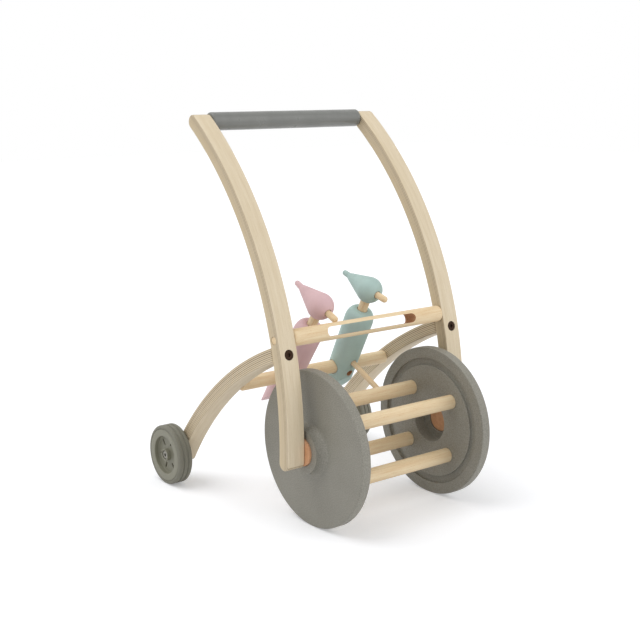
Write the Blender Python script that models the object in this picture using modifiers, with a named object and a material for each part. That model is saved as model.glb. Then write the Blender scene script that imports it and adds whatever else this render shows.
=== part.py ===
"""Baby push walker: bent laminated frame, dowel drum, two small rear wheels and two pecking birds."""

import math

import bmesh
import bpy
from mathutils import Matrix, Vector

# Fits
FIT = 0.0003                    # gap round glued, pressed and bolted pieces
RUN = 0.0004                    # gap round turning pieces

# Stance
DRUM_WHEEL_RADIUS = 0.095
REAR_WHEEL_RADIUS = 0.0392
WHEEL_BASE = 0.235
FRAME_INNER_WIDTH = 0.2345      # between the two posts

# Bent laminated posts and legs
PLY_THICKNESS = 0.017
PLY_WIDTH = 0.0245
PLY_EDGE = 0.0012               # easing of the long edges
POST_BEND_RADIUS = 0.463        # to the middle of the strip
POST_BEND_RISE = 0.0075         # bend centre above the drum axle
POST_FOOT_DROP = 0.010          # middle of the round foot below the drum axle
HANDLE_ANGLE = math.radians(52.8)
SOUND_BAR_ANGLE = math.radians(15.8)
LEG_JOINT_ANGLE = math.radians(13.9)
LEG_BEND_RADIUS = 0.468
LEG_TAIL = 0.0085               # leg past the rear axle, to the middle of its round end
BOLT_ANGLE = math.radians(13.5)
PERCH_ALONG_LEG = 0.1258        # along the leg from the post's middle to the perch rod
PERCH_INSET = 0.0030            # perch rod inside the leg's middle line

# Cross bars and their tenons
HANDLE_DIAMETER = 0.0225
HANDLE_SHOULDER = 0.0030
SOUND_BAR_DIAMETER = 0.0205
SOUND_BAR_SHOULDER = 0.0025
PERCH_DIAMETER = 0.0175
PERCH_SHOULDER = 0.0012
PERCH_TENON_RADIUS = 0.0040
TENON_RADIUS = 0.0045
TENON_DEPTH = 0.014
SLOT_LENGTH = 0.140             # over its round ends
SLOT_HEIGHT = 0.0115
SLOT_TILT = math.radians(15.0)  # front mouth higher than the back one

# Dowel drum
DRUM_HALF_GAP = 0.0892          # middle of the drum to a wheel's inner face
DRUM_RIM_WIDTH = 0.0128
DRUM_RIM_ROUND = 0.0050
DRUM_INNER_EASE = 0.0012
GROOVE_OUTER = 0.081
GROOVE_INNER = 0.072
GROOVE_DEPTH = 0.0035
HUB_RECESS_RADIUS = 0.027
HUB_FACE_RADIUS = 0.0268
HUB_FLARE_RADIUS = 0.0345
HUB_POST_GAP = 0.0042           # hub face to post
HUB_BEARING = 0.0080            # length of the hub's bore
STUB_RADIUS = 0.017
STUB_LENGTH = 0.0097            # out of the post
DOWEL_DIAMETER = 0.018
DOWEL_CIRCLE = 0.050
DOWEL_SOCKET = 0.006
DRUM_PHASE = math.radians(48.5)

# Rear wheels
REAR_WIDTH = 0.0199
SPACER_THICKNESS = 0.0011
SPACER_RADIUS = 0.0075
TYRE_SEAT_RADIUS = 0.0343
TYRE_SHOULDER = 0.0030
TYRE_GROOVE_DEPTH = 0.0013
WEB_RADIUS = 0.025
WEB_RECESS = 0.0065
WEB_BACK_RECESS = 0.0085
WHEEL_HUB_RADIUS = 0.0078
WEB_SLOT_COUNT = 6
WEB_SLOT_WIDTH = 0.0030
WEB_SLOT_START = 0.0130
WEB_SLOT_END = 0.0215
AXLE_RADIUS = 0.004
AXLE_HEAD_RADIUS = 0.0052
AXLE_HEAD_HEIGHT = 0.0040

# Bolts and inserts
THREAD_RADIUS = 0.0027
BOLT_HEAD_RADIUS = 0.0060
BOLT_HEAD_HEIGHT = 0.0030
BOLT_HEAD_RECESS = 0.0003
INSERT_RADIUS = 0.0042
INSERT_LENGTH = 0.014
SOCKET_RADIUS = 0.0024
SOCKET_DEPTH = 0.0022

# Birds, measured from the perch rod along and across the body
BIRD_X = 0.045
BODY_TOP = 0.0906
BODY_TOP_FLAT = 0.0095
BODY_SHOULDER_RADIUS = 0.0188
BODY_SHOULDER_HEIGHT = 0.016
BODY_TAIL_RADIUS = 0.0172
BODY_TAIL = 0.073
TAIL_CUT_DROP = 0.0374          # slanted cut on the body's axis, below the rod
TAIL_CUT_ANGLE = math.radians(58.6)
ROD_PLAY = 0.0008               # gap between the rod and the bird's hole
NECK_RADIUS = 0.0062
NECK_SOCKET = 0.008
HEAD_RADIUS = 0.0168
HEAD_HEIGHT = 0.1210
HEAD_TILT = math.radians(8.7)
CREST_ROOT = 0.0400
CREST_ROOT_RADIUS = 0.0048
CREST_NECK_RADIUS = 0.0039
CREST_TIP = 0.0545
CREST_TIP_RADIUS = 0.0035
BEAK_RADIUS = 0.0042
BEAK_REACH = 0.0340             # head's middle to the beak's end
BEAK_TILT = math.radians(11.2)
BEAK_SOCKET = 0.0075
PEG_RADIUS = 0.0036
PEG_HEIGHT = 0.0165             # peg above the rod, on the body's axis
SPARE_HEIGHT = -0.0006          # spare hole below the rod
PEG_DROOP = math.radians(0.3)   # peg below square to the body
PEG_SOCKET = 0.0060
PEG_OVERLAP = 0.0039            # reach of the peg into the dowels' path
RAISED_BY = math.radians(7.6)   # right bird, lifted by a dowel

# Facets round a full turn
ROUND_LARGE = 36
ROUND_WHEEL = 24
ROUND_DOWEL = 20
ROUND_MIDDLE = 18
ROUND_SMALL = 12

# Derived places
DRUM_Y = -(WHEEL_BASE + REAR_WHEEL_RADIUS - DRUM_WHEEL_RADIUS) / 2
DRUM_Z = DRUM_WHEEL_RADIUS
REAR_Y = DRUM_Y + WHEEL_BASE
REAR_Z = REAR_WHEEL_RADIUS
INNER_X = FRAME_INNER_WIDTH / 2
OUTER_X = INNER_X + PLY_WIDTH
POST_X = INNER_X + PLY_WIDTH / 2
HALF_PLY = PLY_THICKNESS / 2
POST_CENTRE_Y = DRUM_Y + math.sqrt(POST_BEND_RADIUS ** 2 - POST_BEND_RISE ** 2)
POST_CENTRE_Z = DRUM_Z + POST_BEND_RISE
POST_FOOT_ANGLE = -math.asin((POST_BEND_RISE + POST_FOOT_DROP) / POST_BEND_RADIUS)
REAR_INNER_X = OUTER_X + SPACER_THICKNESS + 2 * FIT
REAR_OUTER_X = REAR_INNER_X + REAR_WIDTH
SIDES = (("left", -1), ("right", 1))


def post_point(angle, offset=0.0):
    """Point (y, z) of the post at an angle up its bend, offset to the front."""
    radius = POST_BEND_RADIUS + offset
    return (POST_CENTRE_Y - radius * math.cos(angle), POST_CENTRE_Z + radius * math.sin(angle))


def leg_centre():
    """Bend centre (y, z) of the leg: it starts in the post's middle and passes the rear axle."""
    start = Vector(post_point(LEG_JOINT_ANGLE))
    end = Vector((REAR_Y, REAR_Z))
    half = (end - start) / 2
    away = math.sqrt(LEG_BEND_RADIUS ** 2 - half.length_squared)
    inward = Vector((half.y, -half.x)).normalized()
    return start + half + inward * away


LEG_CENTRE = leg_centre()


def leg_point(angle, offset=0.0):
    """Point (y, z) of the leg at an angle about its bend centre, offset to the outside."""
    radius = LEG_BEND_RADIUS + offset
    return (LEG_CENTRE.x + radius * math.cos(angle), LEG_CENTRE.y + radius * math.sin(angle))


def leg_angle(y, z):
    """Angle of a point (y, z) about the leg's bend centre."""
    return math.atan2(z - LEG_CENTRE.y, y - LEG_CENTRE.x)


def leg_end_angle(offset):
    """Angle where a leg edge meets the post's back face, less the fit."""
    r_leg = LEG_BEND_RADIUS + offset
    r_post = POST_BEND_RADIUS - HALF_PLY - FIT
    gap = Vector((POST_CENTRE_Y, POST_CENTRE_Z)) - LEG_CENTRE
    along = (r_leg ** 2 - r_post ** 2 + gap.length_squared) / (2 * gap.length)
    return math.atan2(gap.y, gap.x) + math.acos(along / r_leg)


LEG_START = leg_angle(*post_point(LEG_JOINT_ANGLE))
LEG_END = leg_angle(REAR_Y, REAR_Z) - LEG_TAIL / LEG_BEND_RADIUS
PERCH_Y, PERCH_Z = leg_point(LEG_START - PERCH_ALONG_LEG / LEG_BEND_RADIUS, -PERCH_INSET)
HANDLE_Y, HANDLE_Z = post_point(HANDLE_ANGLE)
SOUND_Y, SOUND_Z = post_point(SOUND_BAR_ANGLE)


def beak_direction():
    """Unit vector of the beak in the bird's own frame, pointing forward and a little up."""
    return Vector((0.0, -math.cos(BEAK_TILT), math.sin(BEAK_TILT)))


def peck_lean():
    """Forward lean at which the round beak end comes to rest on the sound bar."""
    tip = Vector((0.0, 0.0, HEAD_HEIGHT)) + beak_direction() * (BEAK_REACH - BEAK_RADIUS)
    bar = Vector((SOUND_Y - PERCH_Y, SOUND_Z - PERCH_Z))
    reach = math.hypot(tip.y, tip.z)
    apart = SOUND_BAR_DIAMETER / 2 + BEAK_RADIUS + FIT
    spread = (reach ** 2 + bar.length_squared - apart ** 2) / (2 * reach * bar.length)
    return math.atan2(bar.y, bar.x) - math.acos(spread) - math.atan2(tip.z, tip.y)


def peg_reach():
    """Length along the peg from the body's axis to its round end, which enters the dowels' path."""
    drum = math.hypot(PERCH_Y - DRUM_Y, PERCH_Z - DRUM_Z)
    reach = drum - DOWEL_CIRCLE - DOWEL_DIAMETER / 2 + PEG_OVERLAP - PEG_RADIUS
    along = math.sqrt(reach ** 2 - (PEG_HEIGHT * math.cos(PEG_DROOP)) ** 2)
    return PEG_HEIGHT * math.sin(PEG_DROOP) + along


PECK_LEAN = peck_lean()
PEG_REACH = peg_reach()

for old in list(bpy.data.objects):
    bpy.data.objects.remove(old, do_unlink=True)
PARTS = bpy.data.collections.new("baby_push_walker")
CUTTERS = bpy.data.collections.new("cutters")
bpy.context.scene.collection.children.link(PARTS)
bpy.context.scene.collection.children.link(CUTTERS)
CUTTERS.hide_render = True


def material(name, colour, roughness, metallic=0.0):
    """Plain surface of one colour."""
    made = bpy.data.materials.new(name)
    made.use_nodes = True
    shader = made.node_tree.nodes["Principled BSDF"]
    shader.inputs["Base Color"].default_value = (*colour, 1.0)
    shader.inputs["Roughness"].default_value = roughness
    shader.inputs["Metallic"].default_value = metallic
    made.diffuse_color = (*colour, 1.0)
    return made


LAMINATED = material("laminated_wood", (0.72, 0.56, 0.38), 0.55)
DOWEL_WOOD = material("dowel_wood", (0.76, 0.60, 0.42), 0.6)
STUB_WOOD = material("stub_wood", (0.58, 0.35, 0.18), 0.6)
HANDLE_PAINT = material("handle_paint", (0.42, 0.42, 0.39), 0.5)
DRUM_PAINT = material("drum_composite", (0.28, 0.28, 0.25), 0.5)
CORE_PLASTIC = material("wheel_plastic", (0.25, 0.25, 0.22), 0.5)
TYRE_RUBBER = material("tyre_rubber", (0.16, 0.16, 0.13), 0.7)
DARK_METAL = material("dark_metal", (0.05, 0.04, 0.035), 0.4, 1.0)
STEEL = material("steel", (0.55, 0.55, 0.53), 0.35, 1.0)
BRASS = material("brass", (0.60, 0.42, 0.16), 0.35, 1.0)
BIRD_PAINT = {
    "left": material("pink_paint", (0.62, 0.36, 0.37), 0.6),
    "right": material("green_paint", (0.40, 0.52, 0.48), 0.6),
}


def place(name, data, surface, matrix, parent=None):
    """Named piece with its surface, placed by a matrix in its parent's frame."""
    obj = bpy.data.objects.new(name, data)
    PARTS.objects.link(obj)
    if data is not None:
        data.materials.append(surface)
    obj.parent = parent
    obj.matrix_basis = matrix
    return obj


def pivot(name, matrix):
    """Empty on a joint axis that carries a moving group."""
    return place(name, None, None, matrix)


def cutter(name, data, matrix, parent=None):
    """Cutting solid, kept out of the parts and the render."""
    obj = bpy.data.objects.new(name, data)
    CUTTERS.objects.link(obj)
    obj.hide_render = True
    obj.display_type = "WIRE"
    obj.parent = parent
    obj.matrix_basis = matrix
    return obj


def cut(obj, tool):
    """Take the tool's shape out of a piece."""
    boolean = obj.modifiers.new(tool.name, "BOOLEAN")
    boolean.operation = "DIFFERENCE"
    boolean.solver = "EXACT"
    boolean.object = tool


def aim(start, direction):
    """Frame at a point whose Z runs along a direction."""
    return Matrix.Translation(start) @ Vector(direction).to_track_quat("Z", "Y").to_matrix().to_4x4()


def across(y, z, side=1):
    """Frame on a cross axis whose Z runs to the given side."""
    return Matrix.Translation((0.0, y, z)) @ Matrix.Rotation(side * math.pi / 2, 4, "Y")


def round_cutter(name, radius, start, end, facets=ROUND_MIDDLE, parent=None):
    """Cylindrical cutter between two points."""
    start, end = Vector(start), Vector(end)
    mesh = bpy.data.meshes.new(name)
    bm = bmesh.new()
    bmesh.ops.create_cone(bm, cap_ends=True, segments=facets, radius1=radius, radius2=radius,
                          depth=(end - start).length)
    bm.to_mesh(mesh)
    bm.free()
    return cutter(name, mesh, aim((start + end) / 2, end - start), parent)


def arc(centre_r, centre_z, radius_r, radius_z, start, end, steps):
    """Points of an elliptic arc between two angles in degrees."""
    turns = [math.radians(start + (end - start) * i / steps) for i in range(steps + 1)]
    return [(centre_r + radius_r * math.cos(t), centre_z + radius_z * math.sin(t)) for t in turns]


def turned(name, profile, facets, surface, matrix, parent=None, ring=False):
    """Turned piece: a profile of (radius, height) swept round Z; a ring's profile closes on itself."""
    count = len(profile)
    edges = [(i, i + 1) for i in range(count - 1)]
    if ring:
        edges.append((count - 1, 0))
    mesh = bpy.data.meshes.new(name)
    mesh.from_pydata([(r, 0.0, z) for r, z in profile], edges, [])
    obj = place(name, mesh, surface, matrix, parent)
    screw = obj.modifiers.new("turn", "SCREW")
    screw.axis = "Z"
    screw.angle = 2 * math.pi
    screw.steps = facets
    screw.render_steps = facets
    screw.use_merge_vertices = True
    screw.merge_threshold = 0.00001
    screw.use_smooth_shade = True
    return obj


def extruded(name, outline, half_depth):
    """Closed mesh of a flat outline, filled and extruded both ways."""
    curve = bpy.data.curves.new(name, "CURVE")
    curve.dimensions = "2D"
    curve.fill_mode = "BOTH"
    curve.extrude = half_depth
    spline = curve.splines.new("POLY")
    spline.points.add(len(outline) - 1)
    for point, (a, b) in zip(spline.points, outline):
        point.co = (a, b, 0.0, 1.0)
    spline.use_cyclic_u = True
    holder = bpy.data.objects.new(name, curve)
    bpy.context.scene.collection.objects.link(holder)
    graph = bpy.context.evaluated_depsgraph_get()
    mesh = bpy.data.meshes.new_from_object(holder.evaluated_get(graph))
    bpy.data.objects.remove(holder, do_unlink=True)
    bm = bmesh.new()
    bm.from_mesh(mesh)
    bmesh.ops.remove_doubles(bm, verts=bm.verts, dist=0.000001)
    bmesh.ops.recalc_face_normals(bm, faces=bm.faces)
    bm.to_mesh(mesh)
    bm.free()
    return mesh


def round_end(point, angle, forward, steps=7):
    """Half circle that closes a strip at an angle, from its outer to its inner edge."""
    middle = Vector(point(angle))
    normal = (Vector(point(angle, HALF_PLY)) - middle).normalized()
    ahead = (Vector(point(angle + forward * 0.001)) - middle).normalized()
    turns = [math.pi * i / steps for i in range(steps + 1)]
    return [middle + (normal * math.cos(t) + ahead * math.sin(t)) * HALF_PLY for t in turns]


def strip(name, outline, side):
    """Bent strip of laminated wood: a side outline given the strip's width, with eased edges."""
    matrix = Matrix.Translation((side * POST_X, 0.0, 0.0)) @ Matrix(((0, 0, 1, 0), (1, 0, 0, 0),
                                                                  (0, 1, 0, 0), (0, 0, 0, 1)))
    obj = place(name, extruded(name, outline, PLY_WIDTH / 2), LAMINATED, matrix)
    ease = obj.modifiers.new("ease", "BEVEL")
    ease.width = PLY_EDGE
    ease.segments = 1
    ease.limit_method = "ANGLE"
    ease.angle_limit = math.radians(50)
    return obj


def post_outline(steps=20):
    """Side outline of a post: front edge up, round top, back edge down, round foot."""
    angles = [POST_FOOT_ANGLE + (HANDLE_ANGLE - POST_FOOT_ANGLE) * i / steps for i in range(steps + 1)]
    front = [post_point(a, HALF_PLY) for a in angles[1:-1]]
    back = [post_point(a, -HALF_PLY) for a in reversed(angles[1:-1])]
    top = round_end(post_point, HANDLE_ANGLE, 1)
    foot = list(reversed(round_end(post_point, POST_FOOT_ANGLE, -1)))
    return front + top + back + foot


def leg_outline(steps=13):
    """Side outline of a leg: outer edge down, round end past the axle, inner edge up to the butt end."""
    def edge(offset):
        start = leg_end_angle(offset)
        return [leg_point(start + (LEG_END - start) * i / steps, offset) for i in range(steps)]
    return edge(HALF_PLY) + round_end(leg_point, LEG_END, -1) + list(reversed(edge(-HALF_PLY)))


def bolt_frame(side, offset=0.0):
    """Frame on a frame bolt's axis, offset from the post's middle, Z out of the post's front."""
    y, z = post_point(BOLT_ANGLE, offset)
    out = (0.0, -math.cos(BOLT_ANGLE), math.sin(BOLT_ANGLE))
    return aim((side * POST_X, y, z), out)


def point_on(frame, height):
    """Point at a height along a frame's Z."""
    return frame @ Vector((0.0, 0.0, height))


def hex_socket(obj, matrix, top, parent=None):
    """Hexagonal key socket in a screw head."""
    tool = round_cutter(obj.name + "_socket", SOCKET_RADIUS, point_on(matrix, top - SOCKET_DEPTH),
                        point_on(matrix, top + 0.001), 6, parent)
    cut(obj, tool)


def shouldered(radius, shoulder, tenon_end, tenon_radius=TENON_RADIUS):
    """Profile of a cross bar with rounded shoulders and a tenon at each end."""
    half = INNER_X - FIT
    upper = [(0.0, tenon_end), (tenon_radius, tenon_end), (tenon_radius, half)]
    upper += arc(radius - shoulder, half - shoulder, shoulder, shoulder, 90, 0, 2)
    return upper + [(r, -z) for r, z in reversed(upper)]


def insert_ring(name, matrix, length):
    """Threaded metal sleeve with its outer end at the frame's origin."""
    profile = [(THREAD_RADIUS + FIT, 0.0), (INSERT_RADIUS, 0.0), (INSERT_RADIUS, -length),
               (THREAD_RADIUS + FIT, -length)]
    turned(name, profile, ROUND_SMALL, BRASS, matrix, ring=True)


def build_frame():
    """Posts, legs, cross bars, bolts, inserts and axle stubs."""
    stub_socket = INNER_X + TENON_DEPTH + FIT
    for word, side in SIDES:
        post = strip("post_" + word, post_outline(), side)
        leg = strip("leg_" + word, leg_outline(), side)
        for label, y, z, end in (("handle", HANDLE_Y, HANDLE_Z, stub_socket),
                                 ("sound_bar", SOUND_Y, SOUND_Z, OUTER_X + 0.002),
                                 ("stub", DRUM_Y, DRUM_Z, stub_socket)):
            cut(post, round_cutter(f"{label}_hole_{word}", TENON_RADIUS + FIT,
                                   (side * (INNER_X - 0.002), y, z), (side * end, y, z)))
        cut(leg, round_cutter("perch_hole_" + word, PERCH_TENON_RADIUS + FIT,
                              (side * (INNER_X - 0.002), PERCH_Y, PERCH_Z),
                              (side * stub_socket, PERCH_Y, PERCH_Z)))
        build_frame_bolt(word, side, post, leg)
        cut(leg, round_cutter("axle_hole_" + word, INSERT_RADIUS + FIT,
                              (side * (OUTER_X + 0.002), REAR_Y, REAR_Z),
                              (side * (OUTER_X - INSERT_LENGTH - 0.002), REAR_Y, REAR_Z), ROUND_SMALL))
        insert_ring("axle_insert_" + word, across(REAR_Y, REAR_Z, side)
                    @ Matrix.Translation((0.0, 0.0, OUTER_X - FIT)), INSERT_LENGTH)
        stub_end = INNER_X - STUB_LENGTH
        stub = [(0.0, stub_socket - FIT), (TENON_RADIUS, stub_socket - FIT), (TENON_RADIUS, INNER_X - FIT),
                (STUB_RADIUS, INNER_X - FIT), (STUB_RADIUS, stub_end + 0.001),
                (STUB_RADIUS - 0.001, stub_end), (0.0, stub_end)]
        turned("axle_stub_" + word, stub, ROUND_WHEEL, STUB_WOOD, across(DRUM_Y, DRUM_Z, side))
    turned("handle_bar", shouldered(HANDLE_DIAMETER / 2, HANDLE_SHOULDER, INNER_X + TENON_DEPTH),
           ROUND_MIDDLE, HANDLE_PAINT, across(HANDLE_Y, HANDLE_Z))
    bar = turned("sound_bar", shouldered(SOUND_BAR_DIAMETER / 2, SOUND_BAR_SHOULDER, OUTER_X - FIT),
                 ROUND_MIDDLE, DOWEL_WOOD, across(SOUND_Y, SOUND_Z))
    ends = SLOT_LENGTH / 2 - SLOT_HEIGHT / 2
    stadium = arc(ends, 0.0, SLOT_HEIGHT / 2, SLOT_HEIGHT / 2, -90, 90, 8)
    stadium += arc(-ends, 0.0, SLOT_HEIGHT / 2, SLOT_HEIGHT / 2, 90, 270, 8)
    tilt = Matrix.Rotation(math.pi / 2 - SLOT_TILT, 4, "X")
    cut(bar, cutter("sound_slot", extruded("sound_slot", stadium, SOUND_BAR_DIAMETER),
                    Matrix.Translation((0.0, SOUND_Y, SOUND_Z)) @ tilt))
    perch = shouldered(PERCH_DIAMETER / 2, PERCH_SHOULDER, INNER_X + TENON_DEPTH, PERCH_TENON_RADIUS)
    turned("perch_rod", perch, ROUND_MIDDLE, DOWEL_WOOD, across(PERCH_Y, PERCH_Z))


def build_frame_bolt(word, side, post, leg):
    """Bolt through a post into an insert in the leg's butt end."""
    frame = bolt_frame(side)
    front = HALF_PLY - BOLT_HEAD_RECESS
    under = front - BOLT_HEAD_HEIGHT
    insert_top = -HALF_PLY - 0.0015
    end = insert_top - INSERT_LENGTH
    cut(post, round_cutter("bolt_seat_" + word, BOLT_HEAD_RADIUS + FIT, point_on(frame, under - FIT),
                           point_on(frame, HALF_PLY + 0.005)))
    cut(post, round_cutter("bolt_hole_" + word, THREAD_RADIUS + FIT, point_on(frame, -HALF_PLY - 0.005),
                           point_on(frame, HALF_PLY), ROUND_SMALL))
    cut(leg, round_cutter("insert_hole_" + word, INSERT_RADIUS + FIT, point_on(frame, end - 0.001),
                          point_on(frame, 0.0), ROUND_SMALL))
    insert_ring("frame_insert_" + word, bolt_frame(side, insert_top), INSERT_LENGTH)
    tip = end + 0.001
    profile = [(0.0, front), (BOLT_HEAD_RADIUS - 0.0007, front), (BOLT_HEAD_RADIUS, front - 0.0007),
               (BOLT_HEAD_RADIUS, under), (THREAD_RADIUS, under), (THREAD_RADIUS, tip), (0.0, tip)]
    bolt = turned("frame_bolt_" + word, profile, ROUND_MIDDLE, DARK_METAL, frame)
    hex_socket(bolt, frame, front)


def drum_wheel_profile():
    """Half section of a drum wheel, heights measured from the drum's middle."""
    inner = DRUM_HALF_GAP
    outer = inner + DRUM_RIM_WIDTH
    hub = INNER_X - HUB_POST_GAP
    floor = hub - HUB_BEARING
    bore = STUB_RADIUS + RUN
    flare = arc(HUB_FLARE_RADIUS, hub, HUB_FLARE_RADIUS - HUB_FACE_RADIUS, hub - outer, 180, 270, 3)
    rim = arc(DRUM_WHEEL_RADIUS - DRUM_RIM_ROUND, outer - DRUM_RIM_ROUND, DRUM_RIM_ROUND,
              DRUM_RIM_ROUND, 90, 0, 4)
    return [(bore, hub)] + flare + rim + [
        (DRUM_WHEEL_RADIUS, inner + DRUM_INNER_EASE), (DRUM_WHEEL_RADIUS - DRUM_INNER_EASE, inner),
        (GROOVE_OUTER, inner), (GROOVE_OUTER, inner + GROOVE_DEPTH),
        (GROOVE_INNER, inner + GROOVE_DEPTH), (GROOVE_INNER, inner),
        (HUB_RECESS_RADIUS, inner), (HUB_RECESS_RADIUS, floor), (bore, floor)]


def build_drum():
    """Two drum wheels joined by four dowels, turning on the axle stubs."""
    axle = pivot("drum_axle", Matrix.Translation((0.0, DRUM_Y, DRUM_Z)))
    wheels = [turned("drum_wheel_" + word, drum_wheel_profile(), ROUND_LARGE, DRUM_PAINT,
                     across(0.0, 0.0, side), axle, ring=True) for word, side in SIDES]
    reach = DRUM_HALF_GAP + DOWEL_SOCKET
    radius = DOWEL_DIAMETER / 2
    profile = [(0.0, reach - FIT), (radius, reach - FIT), (radius, FIT - reach), (0.0, FIT - reach)]
    for number in range(4):
        turn = DRUM_PHASE - number * math.pi / 2
        y, z = DOWEL_CIRCLE * math.cos(turn), DOWEL_CIRCLE * math.sin(turn)
        turned(f"drum_dowel_{number + 1}", profile, ROUND_DOWEL, DOWEL_WOOD, across(y, z), axle)
        socket = round_cutter(f"dowel_socket_{number + 1}", radius + FIT, (-reach, y, z), (reach, y, z),
                              ROUND_DOWEL, axle)
        for wheel in wheels:
            cut(wheel, socket)


def rear_core_profile():
    """Half section of a rear wheel core, heights measured from the walker's middle."""
    inner, outer = REAR_INNER_X, REAR_OUTER_X
    bore = AXLE_RADIUS + RUN
    seat = AXLE_HEAD_RADIUS + 2 * RUN
    seat_floor = outer - AXLE_HEAD_HEIGHT - 0.001 - RUN
    ease = 0.0006
    return [(seat, outer), (WHEEL_HUB_RADIUS, outer), (WHEEL_HUB_RADIUS, outer - WEB_RECESS),
            (WEB_RADIUS, outer - WEB_RECESS), (WEB_RADIUS, outer), (TYRE_SEAT_RADIUS - ease, outer),
            (TYRE_SEAT_RADIUS, outer - ease), (TYRE_SEAT_RADIUS, inner + ease),
            (TYRE_SEAT_RADIUS - ease, inner), (WEB_RADIUS, inner), (WEB_RADIUS, inner + WEB_BACK_RECESS),
            (WHEEL_HUB_RADIUS, inner + WEB_BACK_RECESS), (WHEEL_HUB_RADIUS, inner), (bore, inner),
            (bore, seat_floor), (seat, seat_floor)]


def tyre_profile():
    """Half section of a tyre with round shoulders and two tread grooves."""
    seat = TYRE_SEAT_RADIUS + FIT
    radius = REAR_WHEEL_RADIUS
    middle = (REAR_INNER_X + REAR_OUTER_X) / 2
    half = REAR_WIDTH / 2
    low = radius - TYRE_GROOVE_DEPTH
    shoulder = arc(radius - TYRE_SHOULDER, half - TYRE_SHOULDER, TYRE_SHOULDER, TYRE_SHOULDER, 90, 0, 2)
    upper = [(seat, half)] + shoulder
    upper += [(radius, half * 0.45), (low, half * 0.38), (low, half * 0.27), (radius, half * 0.20)]
    lower = [(r, -z) for r, z in reversed(upper)]
    return [(r, middle + z) for r, z in upper + lower]


def web_slots(name, side, parent):
    """Ring of radial slots through a rear wheel's web, as one cutter."""
    mesh = bpy.data.meshes.new(name)
    bm = bmesh.new()
    middle = (WEB_SLOT_START + WEB_SLOT_END) / 2
    size = Matrix.Diagonal((REAR_WIDTH, WEB_SLOT_END - WEB_SLOT_START, WEB_SLOT_WIDTH, 1.0))
    for number in range(WEB_SLOT_COUNT):
        turn = Matrix.Rotation(2 * math.pi * (number - 0.13) / WEB_SLOT_COUNT, 4, "X")
        bmesh.ops.create_cube(bm, size=1.0, matrix=turn @ Matrix.Translation((0.0, middle, 0.0)) @ size)
    bm.to_mesh(mesh)
    bm.free()
    return cutter(name, mesh, Matrix.Translation((side * (REAR_OUTER_X - REAR_WIDTH / 2), 0.0, 0.0)), parent)


def build_rear_wheels():
    """Small wheels on shoulder screws in the legs' ends."""
    for word, side in SIDES:
        axle = pivot("rear_axle_" + word, Matrix.Translation((0.0, REAR_Y, REAR_Z)))
        core = turned("rear_core_" + word, rear_core_profile(), ROUND_WHEEL, CORE_PLASTIC,
                      across(0.0, 0.0, side), axle, ring=True)
        cut(core, web_slots("web_slots_" + word, side, axle))
        turned("rear_tyre_" + word, tyre_profile(), ROUND_WHEEL, TYRE_RUBBER,
               across(0.0, 0.0, side), axle, ring=True)
        frame = across(REAR_Y, REAR_Z, side)
        top = REAR_OUTER_X - 0.001
        under = top - AXLE_HEAD_HEIGHT
        end = OUTER_X - INSERT_LENGTH + 0.001
        ease = 0.0006
        profile = [(0.0, top), (AXLE_HEAD_RADIUS - ease, top), (AXLE_HEAD_RADIUS, top - ease),
                   (AXLE_HEAD_RADIUS, under), (AXLE_RADIUS, under), (AXLE_RADIUS, OUTER_X + FIT),
                   (THREAD_RADIUS, OUTER_X + FIT), (THREAD_RADIUS, end), (0.0, end)]
        screw = turned("axle_screw_" + word, profile, ROUND_SMALL, STEEL, frame)
        hex_socket(screw, frame, top)
        hole = AXLE_RADIUS + FIT
        low, high = OUTER_X + FIT, OUTER_X + FIT + SPACER_THICKNESS
        washer = [(hole, high), (SPACER_RADIUS, high), (SPACER_RADIUS, low), (hole, low)]
        turned("axle_spacer_" + word, washer, ROUND_SMALL, STEEL, frame, ring=True)


def head_profile():
    """Half section of a head: round front, straight taper and a stubby round-ended crest."""
    taper = math.degrees(math.asin((HEAD_RADIUS - CREST_ROOT_RADIUS) / CREST_ROOT))
    ball = arc(0.0, 0.0, HEAD_RADIUS, HEAD_RADIUS, 90, -taper, 6)
    ball[0] = (0.0, HEAD_RADIUS)
    knob = arc(0.0, CREST_TIP_RADIUS - CREST_TIP, CREST_TIP_RADIUS, CREST_TIP_RADIUS, 10, -90, 4)
    knob[-1] = (0.0, -CREST_TIP)
    return ball + [(CREST_ROOT_RADIUS, -CREST_ROOT), (CREST_NECK_RADIUS, -CREST_ROOT - 0.0008)] + knob


def peg_profile(radius, reach, socket):
    """Half section of a dowel with a round outer end."""
    tip = arc(0.0, reach - radius, radius, radius, 90, 0, 3)
    tip[0] = (0.0, reach)
    return tip + [(radius, socket), (0.0, socket)]


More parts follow.
